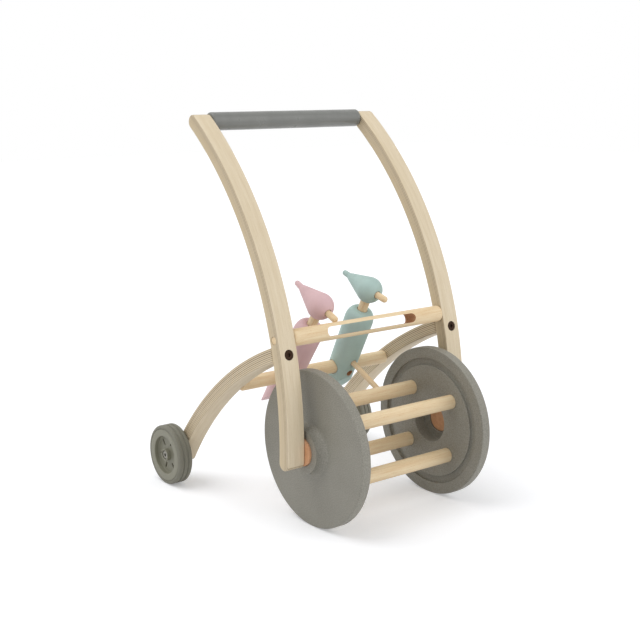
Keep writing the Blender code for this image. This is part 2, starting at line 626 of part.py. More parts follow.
def build_bird(word, side, lean):
    """Bird on the perch rod: body, neck, head, beak and the peg that a drum dowel lifts."""
    paint = BIRD_PAINT[word]
    rod = pivot("bird_pivot_" + word, Matrix.Translation((side * BIRD_X, PERCH_Y, PERCH_Z))
                @ Matrix.Rotation(lean, 4, "X"))
    shoulder = arc(BODY_TOP_FLAT, BODY_TOP - BODY_SHOULDER_HEIGHT, BODY_SHOULDER_RADIUS - BODY_TOP_FLAT,
                   BODY_SHOULDER_HEIGHT, 90, 0, 4)
    profile = [(0.0, BODY_TOP)] + shoulder + [(BODY_TAIL_RADIUS, -BODY_TAIL), (0.0, -BODY_TAIL)]
    body = turned("bird_body_" + word, profile, ROUND_MIDDLE, paint, Matrix(), rod)
    wide = 2 * BODY_SHOULDER_RADIUS
    cut(body, round_cutter("rod_hole_" + word, PERCH_DIAMETER / 2 + ROD_PLAY, (-wide, 0, 0), (wide, 0, 0),
                           ROUND_MIDDLE, rod))
    mesh = bpy.data.meshes.new("tail_cut_" + word)
    bm = bmesh.new()
    bmesh.ops.create_cube(bm, size=BODY_TAIL * 3, matrix=Matrix.Translation((0, 0, BODY_TAIL * 1.5)))
    bm.to_mesh(mesh)
    bm.free()
    down = (0.0, -math.sin(TAIL_CUT_ANGLE), -math.cos(TAIL_CUT_ANGLE))
    cut(body, cutter(mesh.name, mesh, aim((0, 0, -TAIL_CUT_DROP), down), rod))
    neck_low = BODY_TOP - NECK_SOCKET
    neck_high = HEAD_HEIGHT - HEAD_RADIUS + NECK_SOCKET
    neck_hole = round_cutter("neck_hole_" + word, NECK_RADIUS + FIT, (0, 0, neck_low - FIT),
                             (0, 0, neck_high + FIT), ROUND_SMALL, rod)
    cut(body, neck_hole)
    neck = [(0, neck_high), (NECK_RADIUS, neck_high), (NECK_RADIUS, neck_low), (0, neck_low)]
    turned("bird_neck_" + word, neck, ROUND_SMALL, DOWEL_WOOD, Matrix(), rod)
    out = Vector((0.0, -math.cos(PEG_DROOP), -math.sin(PEG_DROOP)))
    peg_start = BODY_TAIL_RADIUS - PEG_SOCKET
    for label, height in (("peg", PEG_HEIGHT), ("spare", SPARE_HEIGHT)):
        middle = Vector((0.0, 0.0, height))
        cut(body, round_cutter(f"{label}_hole_{word}", PEG_RADIUS + FIT, middle + out * (peg_start - FIT),
                               middle + out * wide, ROUND_SMALL, rod))
    turned("bird_peg_" + word, peg_profile(PEG_RADIUS, PEG_REACH + PEG_RADIUS, peg_start), ROUND_SMALL,
           DOWEL_WOOD, aim((0, 0, PEG_HEIGHT), out), rod)
    middle = Vector((0.0, 0.0, HEAD_HEIGHT))
    front = (0.0, -math.cos(HEAD_TILT), math.sin(HEAD_TILT))
    head = turned("bird_head_" + word, head_profile(), ROUND_MIDDLE, paint, aim(middle, front), rod)
    cut(head, neck_hole)
    beak_start = HEAD_RADIUS - BEAK_SOCKET
    beak = beak_direction()
    cut(head, round_cutter("beak_hole_" + word, BEAK_RADIUS + FIT, middle + beak * (beak_start - FIT),
                           middle + beak * BEAK_REACH, ROUND_SMALL, rod))
    turned("bird_beak_" + word, peg_profile(BEAK_RADIUS, BEAK_REACH, beak_start), ROUND_SMALL,
           DOWEL_WOOD, aim(middle, beak), rod)


build_frame()
build_drum()
build_rear_wheels()
build_bird("left", -1, PECK_LEAN)
build_bird("right", 1, PECK_LEAN - RAISED_BY)
bpy.context.view_layer.update()
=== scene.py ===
"""Looks of a wooden push walker: bent plywood frame, dowel drum, two rear wheels, two pecking birds."""

import math

import bmesh
import bpy
import numpy as np
from bpy.props import FloatProperty, FloatVectorProperty, IntProperty, PointerProperty
from mathutils import Matrix, Vector


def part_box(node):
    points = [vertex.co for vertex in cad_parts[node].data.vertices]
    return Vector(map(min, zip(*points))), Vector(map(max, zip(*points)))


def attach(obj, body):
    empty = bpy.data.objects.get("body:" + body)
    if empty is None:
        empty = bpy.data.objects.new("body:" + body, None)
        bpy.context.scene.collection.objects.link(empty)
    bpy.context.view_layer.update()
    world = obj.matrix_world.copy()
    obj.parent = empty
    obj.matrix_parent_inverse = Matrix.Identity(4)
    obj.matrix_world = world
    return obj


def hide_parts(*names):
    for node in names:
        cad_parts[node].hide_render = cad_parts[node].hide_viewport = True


bl_info = {
    "name": "Push walker looks",
    "version": (1, 0, 0),
    "blender": (4, 5, 0),
    "location": "View3D > Sidebar > Walker",
    "description": "Builds the finished surfaces of a wooden push walker around its packed solids",
    "category": "Object",
}

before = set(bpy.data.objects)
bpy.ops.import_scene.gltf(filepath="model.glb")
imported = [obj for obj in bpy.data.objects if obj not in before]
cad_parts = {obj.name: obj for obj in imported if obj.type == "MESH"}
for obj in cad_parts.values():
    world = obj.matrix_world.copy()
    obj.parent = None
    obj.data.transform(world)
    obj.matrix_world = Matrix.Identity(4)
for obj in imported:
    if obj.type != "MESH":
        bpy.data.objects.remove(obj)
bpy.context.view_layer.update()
SIDES = (("left", -1), ("right", 1))
MM = 0.001
FIGURES = 97            # different wood figures, handed out by name
FIGURE_STEP = 0.031     # metres along the grain from one figure to the next
SMOOTH_UP_TO = 32.0     # degrees between faces, past which an edge shows
DOWELS = 4              # between the drum wheels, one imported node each
GLUE = 0.9              # strength of the glue lines where they show most
SLEEVE_SINK = 0.0015    # frame insert below the leg's end face
LEG_EASE = 0.8          # eased edges of the legs, as a share of the posts'
TENON_EDGE = 0.0005     # radius on the ends of tenons and necks


def sizes(*names):
    """Property groups of the scene by their short names."""
    return [getattr(bpy.context.scene, "walker_" + name) for name in names]


def middle(node):
    """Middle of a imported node's box."""
    low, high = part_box(node)
    return (low + high) / 2


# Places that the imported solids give
DRUM_AXLE = (middle("drum_wheel_left") + middle("drum_wheel_right")) / 2
REAR_AXLE = middle("rear_tyre_right")
HANDLE = middle("handle_bar")
SOUND_BAR = middle("sound_bar")
PERCH = middle("perch_rod")
INNER_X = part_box("post_right")[0].x
OUTER_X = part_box("post_right")[1].x
BIRD_X = middle("bird_body_right").x
REAR_INNER_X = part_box("rear_tyre_right")[0].x
REAR_OUTER_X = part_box("rear_tyre_right")[1].x


def linear(code):
    """Linear red, green and blue of an sRGB hex colour."""
    part = np.array([int(code[i:i + 2], 16) for i in (0, 2, 4)]) / 255
    return tuple(np.where(part <= 0.04045, part / 12.92, ((part + 0.055) / 1.055) ** 2.4).tolist())


def length(name, words, default):
    """Size in metres."""
    return FloatProperty(name=name, description=words, default=default, unit="LENGTH", precision=4)


def turn(name, words, degrees):
    """Angle, given in degrees."""
    return FloatProperty(name=name, description=words, default=math.radians(degrees), unit="ROTATION")


def amount(name, words, default):
    """Plain number."""
    return FloatProperty(name=name, description=words, default=default)


def whole(name, words, default, least=1):
    """Whole number."""
    return IntProperty(name=name, description=words, default=default, min=least)


def colour(name, words, code):
    """Colour from its sRGB hex code."""
    return FloatVectorProperty(name=name, description=words, default=linear(code), subtype="COLOR",
                               min=0.0, max=1.0)


class WALKER_PG_strips(bpy.types.PropertyGroup):
    """Bent posts and legs."""

    thickness: length("Thickness", "Strip thickness through its plies", 0.017)
    ease: length("Eased edge", "Radius on the strip's long edges", 0.0014)
    plies: whole("Plies", "Veneers in a strip", 8)
    post_radius: length("Post bend", "Bend radius at the post's middle", 0.463)
    post_rise: length("Post bend rise", "Bend centre above the drum axle", 0.0075)
    foot_drop: length("Foot drop", "Middle of the round foot below the drum axle", 0.010)
    handle_angle: turn("Handle angle", "Top of the post, up its bend", 52.8)
    joint_angle: turn("Leg joint", "Leg's start, up the post's bend", 13.9)
    leg_radius: length("Leg bend", "Bend radius at the leg's middle", 0.468)
    leg_tail: length("Leg tail", "Leg past the rear axle, to the middle of its round end", 0.0085)
    bolt_angle: turn("Bolt", "Frame bolt, up the post's bend", 13.5)
    fit: length("Fit", "Gap round glued, pressed and bolted pieces", 0.0003)


class WALKER_PG_bars(bpy.types.PropertyGroup):
    """Handle, sound bar, perch rod and axle stubs."""

    handle_radius: length("Handle radius", "Radius of the push handle", 0.01125)
    handle_round: length("Handle shoulder", "Rounding of the handle's ends", 0.003)
    sound_radius: length("Sound bar radius", "Radius of the bar that the birds peck", 0.01025)
    sound_round: length("Sound bar shoulder", "Rounding of the sound bar's ends", 0.0025)
    perch_radius: length("Perch radius", "Radius of the rod that the birds swing on", 0.00875)
    perch_round: length("Perch shoulder", "Rounding of the perch rod's ends", 0.0012)
    tenon_radius: length("Tenon radius", "Tenons of the handle, sound bar and stubs", 0.0045)
    perch_tenon: length("Perch tenon", "Tenon radius of the perch rod", 0.004)
    tenon_depth: length("Tenon depth", "Blind tenons in posts and legs", 0.014)
    slot_length: length("Slot length", "Sound slot over its round ends", 0.140)
    slot_height: length("Slot height", "Opening of the sound slot", 0.0115)
    slot_tilt: turn("Slot tilt", "Front mouth of the slot above the back one", 15.0)
    stub_radius: length("Stub radius", "Wooden axle stub in the drum's hub", 0.017)
    stub_length: length("Stub length", "Axle stub out of the post", 0.0097)


class WALKER_PG_drum(bpy.types.PropertyGroup):
    """Two wheels joined by four dowels."""

    radius: length("Radius", "Drum wheel radius", 0.095)
    half_gap: length("Half gap", "Middle of the drum to a wheel's inner face", 0.0892)
    rim_width: length("Rim width", "Thickness of a wheel's disc", 0.0128)
    rim_round: length("Rim rounding", "Radius of the outer rim edge", 0.0020)
    inner_ease: length("Inner edge", "Radius of the inner rim edge", 0.0012)
    groove_outer: length("Groove outside", "Outer radius of the face groove", 0.081)
    groove_inner: length("Groove inside", "Inner radius of the face groove", 0.072)
    groove_depth: length("Groove depth", "Depth of the face groove", 0.0035)
    recess_radius: length("Hub recess", "Radius of the hollow behind the hub", 0.027)
    hub_radius: length("Hub face", "Radius of the hub's outer face", 0.0268)
    flare_radius: length("Hub flare", "Radius where the hub runs out into the disc", 0.0345)
    post_gap: length("Post gap", "Hub face to post", 0.0030)
    bearing: length("Bearing", "Length of the hub's bore", 0.008)
    run: length("Running gap", "Gap round turning pieces", 0.0004)
    dowel_radius: length("Dowel radius", "Radius of the four cross dowels", 0.009)
    dowel_circle: length("Dowel circle", "Radius of the circle of dowels", 0.050)
    socket: length("Dowel socket", "Depth of a dowel in a wheel", 0.006)
    phase: turn("Phase", "Turn of the drum at rest", 48.5)


class WALKER_PG_rear(bpy.types.PropertyGroup):
    """Small wheels with rubber tyres."""

    radius: length("Radius", "Wheel over its tyre", 0.0392)
    seat_radius: length("Tyre seat", "Radius of the core under the tyre", 0.0343)
    shoulder: length("Tyre shoulder", "Rounding of the tyre's edges", 0.003)
    tread_depth: length("Tread groove", "Depth of the two tread grooves", 0.0013)
    web_radius: length("Web radius", "Radius of the dished web", 0.025)
    web_recess: length("Web recess", "Web below the core's outer face", 0.0065)
    web_back: length("Web back", "Web below the core's inner face", 0.0085)
    hub_radius: length("Hub radius", "Radius of the hub tube", 0.0078)
    slots: whole("Slots", "Radial slots in the web", 6, 2)
    slot_width: length("Slot width", "Width of a web slot", 0.003)
    slot_start: length("Slot start", "Inner end of a web slot", 0.0130)
    slot_end: length("Slot end", "Outer end of a web slot", 0.0215)
    slot_turn: amount("Slot turn", "Turn of the slots, in slot steps", -0.13)
    spacer_radius: length("Spacer radius", "Washer between leg and wheel", 0.0075)


class WALKER_PG_screws(bpy.types.PropertyGroup):
    """Frame bolts and axle screws."""

    thread_radius: length("Thread radius", "Screw thread", 0.0027)
    bolt_radius: length("Bolt head", "Radius of a frame bolt's head", 0.006)
    bolt_height: length("Bolt head height", "Height of a frame bolt's head", 0.003)
    bolt_recess: length("Bolt recess", "Bolt head below the post's front", 0.0003)
    axle_radius: length("Axle radius", "Smooth shank in the rear wheel", 0.004)
    head_radius: length("Axle head", "Radius of an axle screw's head", 0.0052)
    head_height: length("Axle head height", "Height of an axle screw's head", 0.004)
    head_recess: length("Axle recess", "Axle head below the wheel's face", 0.001)
    insert_radius: length("Insert radius", "Threaded insert in the wood", 0.0042)
    insert_length: length("Insert length", "Length of an insert", 0.014)
    key_radius: length("Key socket", "Corner radius of the hexagon socket", 0.0024)
    key_depth: length("Key depth", "Depth of the hexagon socket", 0.0022)


class WALKER_PG_birds(bpy.types.PropertyGroup):
    """Birds, measured along and across the body from the perch rod."""

    top: length("Body top", "Body's flat top above the rod", 0.0906)
    top_flat: length("Top flat", "Radius of the flat top", 0.0095)
    shoulder_radius: length("Shoulder radius", "Widest radius of the body", 0.0188)
    shoulder_height: length("Shoulder height", "Height of the rounded shoulder", 0.016)
    tail_radius: length("Tail radius", "Body radius at its tail", 0.0172)
    tail: length("Tail", "Tail below the rod", 0.073)
    cut_drop: length("Cut drop", "Slanted cut on the axis, below the rod", 0.0374)
    cut_angle: turn("Cut angle", "Slant of the tail's cut", 58.6)
    play: length("Rod play", "Gap between the rod and the bird's hole", 0.0008)
    neck_radius: length("Neck radius", "Wooden neck", 0.0062)
    neck_socket: length("Neck socket", "Neck's depth in body and head", 0.008)
    head_radius: length("Head radius", "Round front of the head", 0.0168)
    head_height: length("Head height", "Head's middle above the rod", 0.1210)
    head_tilt: turn("Head tilt", "Head's axis above square to the body", 8.7)
    crest_root: length("Crest root", "Head's middle to the crest's root", 0.0400)
    crest_root_radius: length("Root radius", "Taper at the crest's root", 0.0048)
    crest_neck_radius: length("Crest foot", "Crest above its root", 0.0039)
    crest_tip: length("Crest tip", "Head's middle to the crest's end", 0.0545)
    crest_tip_radius: length("Crest end", "Crest's round end", 0.0035)
    beak_radius: length("Beak radius", "Round beak", 0.0042)
    beak_reach: length("Beak reach", "Head's middle to the beak's end", 0.0340)
    beak_tilt: turn("Beak tilt", "Beak above square to the body", 11.2)
    beak_socket: length("Beak socket", "Beak's depth in the head", 0.0075)
    peg_radius: length("Peg radius", "Peg that a dowel lifts", 0.0036)
    peg_height: length("Peg height", "Peg above the rod, on the axis", 0.0165)
    spare_height: length("Spare hole", "Spare peg hole above the rod", -0.0006)
    peg_droop: turn("Peg droop", "Peg below square to the body", 0.3)
    peg_socket: length("Peg socket", "Peg's depth in the body", 0.006)
    peg_overlap: length("Peg overlap", "Peg's reach into the dowels' path", 0.0039)
    raised: turn("Raised by", "Right bird's lift at rest", 7.6)
    cut_round: length("Cut rounding", "Radius on the rim of the tail's cut", 0.0009)
    crest_step: length("Crest step", "Height of the step at the crest's root", 0.0008)
    mouth: length("Hole mouth", "Gap round a dowel in a painted hole", 0.0007)


class WALKER_PG_finish(bpy.types.PropertyGroup):
    """Colours of the woods, paints, plastics and metals."""

    ply: colour("Plywood", "Pale face veneer", "E3D4B9")
    # ply_dark is also the tone that the side faces are mixed toward, partly as painted shade
    ply_dark: colour("Plywood grain", "Darker grain in the veneer", "CDB994")
    ply_line: colour("Glue line", "Thin lines between plies", "5F4528")
    dowel: colour("Dowel", "Pale turned wood", "EFDCB8")
    dowel_dark: colour("Dowel grain", "Darker grain in turned wood", "DBB684")
    # The stub's two colours hold painted shade and warm bounced light of the hub recess over the wood's own
    # brown
    stub: colour("Stub", "Brown end of the axle stub", "DDAA82")
    stub_dark: colour("Stub grain", "Dark grain of the axle stub", "BE8860")
    bare: colour("Bare wood", "Raw wood inside drilled holes", "CFA27A")
    bare_dark: colour("Bare grain", "Dark grain inside drilled holes", "AC7A52")
    handle: colour("Handle", "Grey handle paint", "7B7C78")
    drum: colour("Drum", "Grey composite of the drum wheels", "959287")
    drum_dark: colour("Drum fleck", "Dark fleck in the composite", "7C796F")
    core: colour("Wheel core", "Grey plastic of the rear wheels", "878574")
    tyre: colour("Tyre", "Grey rubber", "807E71")
    pink: colour("Pink", "Left bird's paint", "DFBCBF")
    green: colour("Green", "Right bird's paint", "B2CBC5")
    bolt: colour("Bolt", "Blackened steel", "3A2B22")
    steel: colour("Steel", "Zinc plated steel", "9A978E")
    brass: colour("Brass", "Threaded inserts", "B08D4F")


class WALKER_PG_stage(bpy.types.PropertyGroup):
    """Floor, light and camera."""

    lens: FloatProperty(name="Lens", description="Focal length on a 36 mm sensor", default=64.88,
                        unit="CAMERA")
    eye: FloatVectorProperty(name="Eye", description="Camera from the drum's middle",
                             default=(-0.8947, -1.0289, 0.4269), subtype="TRANSLATION", unit="LENGTH")
    pitch: turn("Pitch", "Camera's tilt from straight down", 78.213)
    heading: turn("Heading", "Camera's turn about the vertical", -38.097)
    floor_size: length("Floor", "Half side of the floor", 6.0)
    sky: amount("Sky", "Strength of the even light all round", 0.60)
    key: amount("Key", "Strength of the light from above", 1.25)
    key_from: FloatVectorProperty(name="Key from", description="Direction to the light from above",
                                  default=(-0.40, 0.35, 1.0), subtype="XYZ")
    front: amount("Front", "Strength of the light from the front", 0.7)
    front_from: FloatVectorProperty(name="Front from", description="Direction to the front light",
                                    default=(0.40, -1.0, 0.45), subtype="XYZ")
    spread: turn("Spread", "Breadth of the lights, seen from the walker", 55.0)
    paper: colour("Paper", "White paper of the floor", "F0F1F4")
    glow: amount("Glow", "Paper's own white where it is seen", 0.25)


def groups():
    """Property groups by their name on the scene."""
    return {"walker_strips": WALKER_PG_strips, "walker_bars": WALKER_PG_bars,
            "walker_drum": WALKER_PG_drum, "walker_rear": WALKER_PG_rear,
            "walker_screws": WALKER_PG_screws, "walker_birds": WALKER_PG_birds,
            "walker_finish": WALKER_PG_finish, "walker_stage": WALKER_PG_stage}


# Surfaces

def filleted(corners, steps=5, closed=False):
    """Profile through corners (a, b, radius): a corner with a radius becomes an arc tangent to its sides.

    The arc's centre lies on the corner's bisector, and its points swing evenly from one tangent
    point to the other.
    """
    corners = np.array(corners, float)
    count = len(corners)
    line = []
    for i in range(count):
        here, radius = corners[i, :2], corners[i, 2]
        if radius <= 0 or (not closed and i in (0, count - 1)):
            line.append(here[None])
            continue
        back = corners[i - 1, :2] - here
        ahead = corners[(i + 1) % count, :2] - here
        back /= np.linalg.norm(back)
        ahead /= np.linalg.norm(ahead)
        corner = math.acos(float(np.clip(back @ ahead, -1, 1)))
        centre = here + (back + ahead) / np.linalg.norm(back + ahead) * radius / math.sin(corner / 2)
        reach = radius / math.tan(corner / 2)
        start, end = here + back * reach - centre, here + ahead * reach - centre
        swing = math.pi - corner
        share = np.linspace(0, 1, steps + 1)[:, None]
        line.append(centre + (np.sin((1 - share) * swing) * start + np.sin(share * swing) * end)
                    / math.sin(swing))
    return np.vstack(line)


def arc(centre, radii, start, end, steps):
    """Points of an elliptic arc between two angles in degrees."""
    angle = np.radians(np.linspace(start, end, steps + 1))
    return np.stack([centre[0] + radii[0] * np.cos(angle), centre[1] + radii[1] * np.sin(angle)], -1)


def mirrored(upper):
    """Profile continued by its own mirror image below height zero."""
    return np.vstack([upper, upper[::-1] * (1, -1)])


def aim(start, direction):
    """Matrix at a point whose Z runs along a direction."""
    return Matrix.Translation(start) @ Vector(direction).to_track_quat("Z", "Y").to_matrix().to_4x4()


def across(place, side=1):
    """Matrix on a cross axis through a place, whose Z runs to the given side from the walker's middle."""
    return aim((0.0, place.y, place.z), (side, 0.0, 0.0))


def moved(points, matrix):
    """Points carried by a matrix."""
    matrix = np.array(matrix)
    return points @ matrix[:3, :3].T + matrix[:3, 3]


def skin(name, points, wrap_rows=False, wrap_columns=False):
    """Mesh of a grid of points: one quad per cell, seams and poles merged, faces turned outward."""
    rows, columns = points.shape[:2]
    row, column = np.meshgrid(np.arange(rows - (not wrap_rows)), np.arange(columns - (not wrap_columns)),
                              indexing="ij")
    below, beside = (row + 1) % rows, (column + 1) % columns
    quads = np.stack([row * columns + column, below * columns + column, below * columns + beside,
                      row * columns + beside], -1).reshape(-1, 4)
    mesh = bpy.data.meshes.new(name)
    mesh.from_pydata(points.reshape(-1, 3).tolist(), [], quads.tolist())
    tidied(mesh)
    return mesh


def tidied(mesh):
    """Merge a mesh's doubles and turn its faces outward."""
    bm = bmesh.new()
    bm.from_mesh(mesh)
    bmesh.ops.remove_doubles(bm, verts=bm.verts, dist=1e-6)
    bmesh.ops.recalc_face_normals(bm, faces=bm.faces)
    bm.to_mesh(mesh)
    bm.free()


def turned(name, profile, matrix, segments=96, ring=False, hexagon=()):
    """Surface of revolution: point(u, v) = matrix (r(v) cos u, r(v) sin u, h(v)).

    On the profile points listed in hexagon, r is the corner radius of a hexagon and follows its flats.
    """
    angle = np.arange(segments) * 2 * math.pi / segments
    radius, height = np.asarray(profile, float).T
    radii = np.tile(radius, (segments, 1))
    flats = math.cos(math.pi / 6) / np.cos(angle % (math.pi / 3) - math.pi / 6)
    radii[:, list(hexagon)] *= flats[:, None]
    points = np.stack([radii * np.cos(angle)[:, None], radii * np.sin(angle)[:, None],
                       np.tile(height, (segments, 1))], -1)
    return skin(name, moved(points, matrix), True, ring)


def rod(name, radius, start, end, segments=64):
    """Closed cylinder between two points: a turned profile of a straight wall and two flat ends."""
    start, end = Vector(start), Vector(end)
    reach = (end - start).length
    return turned(name, [(0, reach), (radius, reach), (radius, 0), (0, 0)], aim(start, end - start), segments)


def cross_rod(name, radius, side, place, start, end, segments=64):
    """Rod across the walker at a place (y, z), between two distances from the middle on one side."""
    return rod(name, radius, (side * start, *place), (side * end, *place), segments)


def prism(name, outline, depth, matrix):
    """Closed prism: a flat outline carried along Z from -depth to depth, its ends drawn in to the middle."""
    outline = np.asarray(outline, float)
    share = np.array([0.0, 1.0, 1.0, 0.0])
    height = np.array([-depth, -depth, depth, depth])
    points = np.concatenate([outline[:, None] * share[:, None],
                             np.tile(height[None, :, None], (len(outline), 1, 1))], -1)
    return skin(name, moved(points, matrix), True, False)


def stadium(length_over, height, steps=16):
    """Outline of a slot with round ends: two half circles and the straights between them."""
    radius = height / 2
    ends = length_over / 2 - radius
    return np.vstack([arc((ends, 0), (radius, radius), -90, 90, steps),
                      arc((-ends, 0), (radius, radius), 90, 270, steps)])


def bored(mesh, slot, tools, hole_slot=None):
    """Mesh in a slot's material with the tools' shapes cut out of it, the cut walls in the hole's own."""
    work = bpy.data.objects.new(mesh.name, mesh)
    mesh.materials.append(finish(slot))
    holders = []
    for tool in tools:
        tool.materials.append(finish(hole_slot or slot))
        holder = bpy.data.objects.new(tool.name, tool)
        bpy.context.collection.objects.link(holder)
        holders.append(holder)
        cut = work.modifiers.new(tool.name, "BOOLEAN")
        cut.operation = "DIFFERENCE"
        cut.solver = "EXACT"
        cut.material_mode = "TRANSFER"
        cut.object = holder
    bpy.context.collection.objects.link(work)
    bpy.context.view_layer.update()
    made = bpy.data.meshes.new_from_object(work.evaluated_get(bpy.context.evaluated_depsgraph_get()))
    made.name = mesh.name
    for holder in [work, *holders]:
        data = holder.data
        bpy.data.objects.remove(holder)
        bpy.data.meshes.remove(data)
    if len(made.vertices) == 0:
        raise RuntimeError(made.name + ": nothing is left after the cuts")
    return made


def spots(mesh):
    """Vertex places of a mesh as one array."""
    flat = np.empty(len(mesh.vertices) * 3)
    mesh.vertices.foreach_get("co", flat)
    return flat.reshape(-1, 3)


def lay_grain(mesh, grain, glue=None):
    """Store the wood's own coordinates on a mesh: along the grain, through the plies, across the width.

    A shift that follows from the piece's name keeps two pieces from showing the same figure. Glue is the
    strength of the lines between plies; less glue darkens the side faces more, partly as painted shade.
    """
    shift = sum(ord(letter) * (place + 1) for place, letter in enumerate(mesh.name)) % FIGURES
    grain = grain + np.array((shift * FIGURE_STEP, 0.0, 0.0))
    stored = mesh.attributes.new("grain", "FLOAT_VECTOR", "POINT")
    stored.data.foreach_set("vector", grain.ravel())
    if glue is not None:
        stored = mesh.attributes.new("glue", "FLOAT", "POINT")
        stored.data.foreach_set("value", glue)


def straight_grain(mesh, matrix):
    """Grain along the Z of a matrix: places seen from it, with Z first."""
    seen = moved(spots(mesh), matrix.inverted())
    lay_grain(mesh, seen[:, (2, 0, 1)])


def bent_grain(mesh, centre, radius, inside, outside):
    """Grain round a bend: arc length, distance outside the bend's middle line, and width.

    The glue lines' strength runs evenly from the bend's inside to its outside, and the side faces' darkening,
    partly painted shade, runs the other way.
    """
    place = spots(mesh)
    y, z = place[:, 1] - centre[0], place[:, 2] - centre[1]
    along = radius * np.arctan2(z, -y * np.sign(centre[0] - DRUM_AXLE.y))
    out = np.hypot(y, z) - radius
    share = out / sizes("strips")[0].thickness + 0.5
    lay_grain(mesh, np.stack([along, out, np.abs(place[:, 0]) - INNER_X], -1),
              inside + (outside - inside) * share)


def piece(mesh, body, node, slot, grain=None):
    """Finished object that rides on a body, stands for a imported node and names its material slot.

    A grain matrix lays straight grain along its Z.
    """
    if grain is not None:
        straight_grain(mesh, grain)
    if not mesh.materials:
        mesh.materials.append(finish(slot))
    mesh.polygons.foreach_set("use_smooth", np.ones(len(mesh.polygons), bool))
    mesh.set_sharp_from_angle(angle=math.radians(SMOOTH_UP_TO))
    made = bpy.data.objects.new(mesh.name, mesh)
    bpy.context.collection.objects.link(made)
    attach(made, body)
    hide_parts(node)
    return made


# Materials

def add(tree, kind, inputs=(), **settings):
    """Add a node: settings are its own values, inputs are nodes, linked sockets or plain values."""
    node = tree.nodes.new("ShaderNode" + kind)
    for key, value in settings.items():
        setattr(node, key, value)
    for socket, value in dict(inputs).items():
        if isinstance(value, bpy.types.Node):
            value = value.outputs[0]
        if isinstance(value, bpy.types.NodeSocket):
            tree.links.new(value, node.inputs[socket])
        else:
            node.inputs[socket].default_value = value
    return node


def blank(name, metallic=0.0):
    """New material with its tree; a metal keeps the default IOR, all else has that of varnish and plastic."""
    made = bpy.data.materials.new(name)
    made.use_nodes = True
    shader = made.node_tree.nodes["Principled BSDF"]
    shader.inputs["Metallic"].default_value = metallic
    if metallic == 0.0:
        shader.inputs["IOR"].default_value = 1.5
    return made, made.node_tree


def rgba(value):
    """Colour property with full alpha."""
    return (*value, 1.0)


def dress(made, colours, figure, roughness, relief=None):
    """Link a colour, a roughness that follows a figure, and a bump (strength, depth, height) to the shader.

    Colours are a share, the colour at share 0 and the colour at share 1. Roughness is its lowest and
    its highest value.
    """
    tree = made.node_tree
    shader = tree.nodes["Principled BSDF"]
    share, first, second = colours
    tint = add(tree, "Mix", {0: share, 6: first, 7: second}, data_type="RGBA")
    tree.links.new(tint.outputs[2], shader.inputs["Base Color"])
    rough = add(tree, "MapRange", {0: figure, 1: 0.3, 2: 0.7, 3: roughness[0], 4: roughness[1]})
    tree.links.new(rough.outputs[0], shader.inputs["Roughness"])
    if relief:
        strength, depth, height = relief
        bump = add(tree, "Bump", {"Strength": strength, "Distance": depth, "Height": height})
        tree.links.new(bump.outputs[0], shader.inputs["Normal"])
    return made


def streaks(tree, grain, long, wide, **settings):
    """Noise in streaks of the given length and width in metres, along the grain."""
    place = add(tree, "VectorMath", {0: grain, 1: (1 / long, 1 / wide, 1 / wide)}, operation="MULTIPLY")
    return add(tree, "TexNoise", {"Vector": place, "Scale": 1.0, **settings})


def timber(name, pale, dark, roughness, line=None):
    """Wood with its grain along the piece; a line colour adds the plies of a bent strip."""
    made, tree = blank(name)
    grain = add(tree, "Attribute", attribute_name="grain").outputs["Vector"]
    # Growth figure: bands about 6 mm wide that run on for 150 mm
    broad = streaks(tree, grain, 0.15, 0.006, Detail=2.0, Distortion=0.4)
    # Pores and fibres: streaks 0.7 mm wide and 30 mm long
    fine = streaks(tree, grain, 0.03, 0.0007, Detail=3.0, Roughness=0.6)
    # Short dark flecks 0.5 mm wide and 3 mm long
    fleck = streaks(tree, grain, 0.003, 0.0005, Detail=0.0)
    # Share of the dark tone that each adds
    shares = [add(tree, "MapRange", {0: noise, 1: low, 2: high, 3: 0.0, 4: most})
              for noise, low, high, most in ((broad, 0.35, 0.70, 0.35), (fine, 0.40, 0.75, 0.55),
                                             (fleck, 0.66, 0.78, 0.35))]
    tone = add(tree, "Math", {0: shares[0], 1: shares[1]}, operation="ADD")
    tone = add(tree, "Math", {0: tone, 1: shares[2]}, operation="ADD", use_clamp=True)
    colours = (tone, rgba(pale), rgba(dark))
    if line:
        colours = plies(tree, grain, colours, line)
    return dress(made, colours, fine, (roughness - 0.06, roughness + 0.08), (0.12, 0.0003, fine))


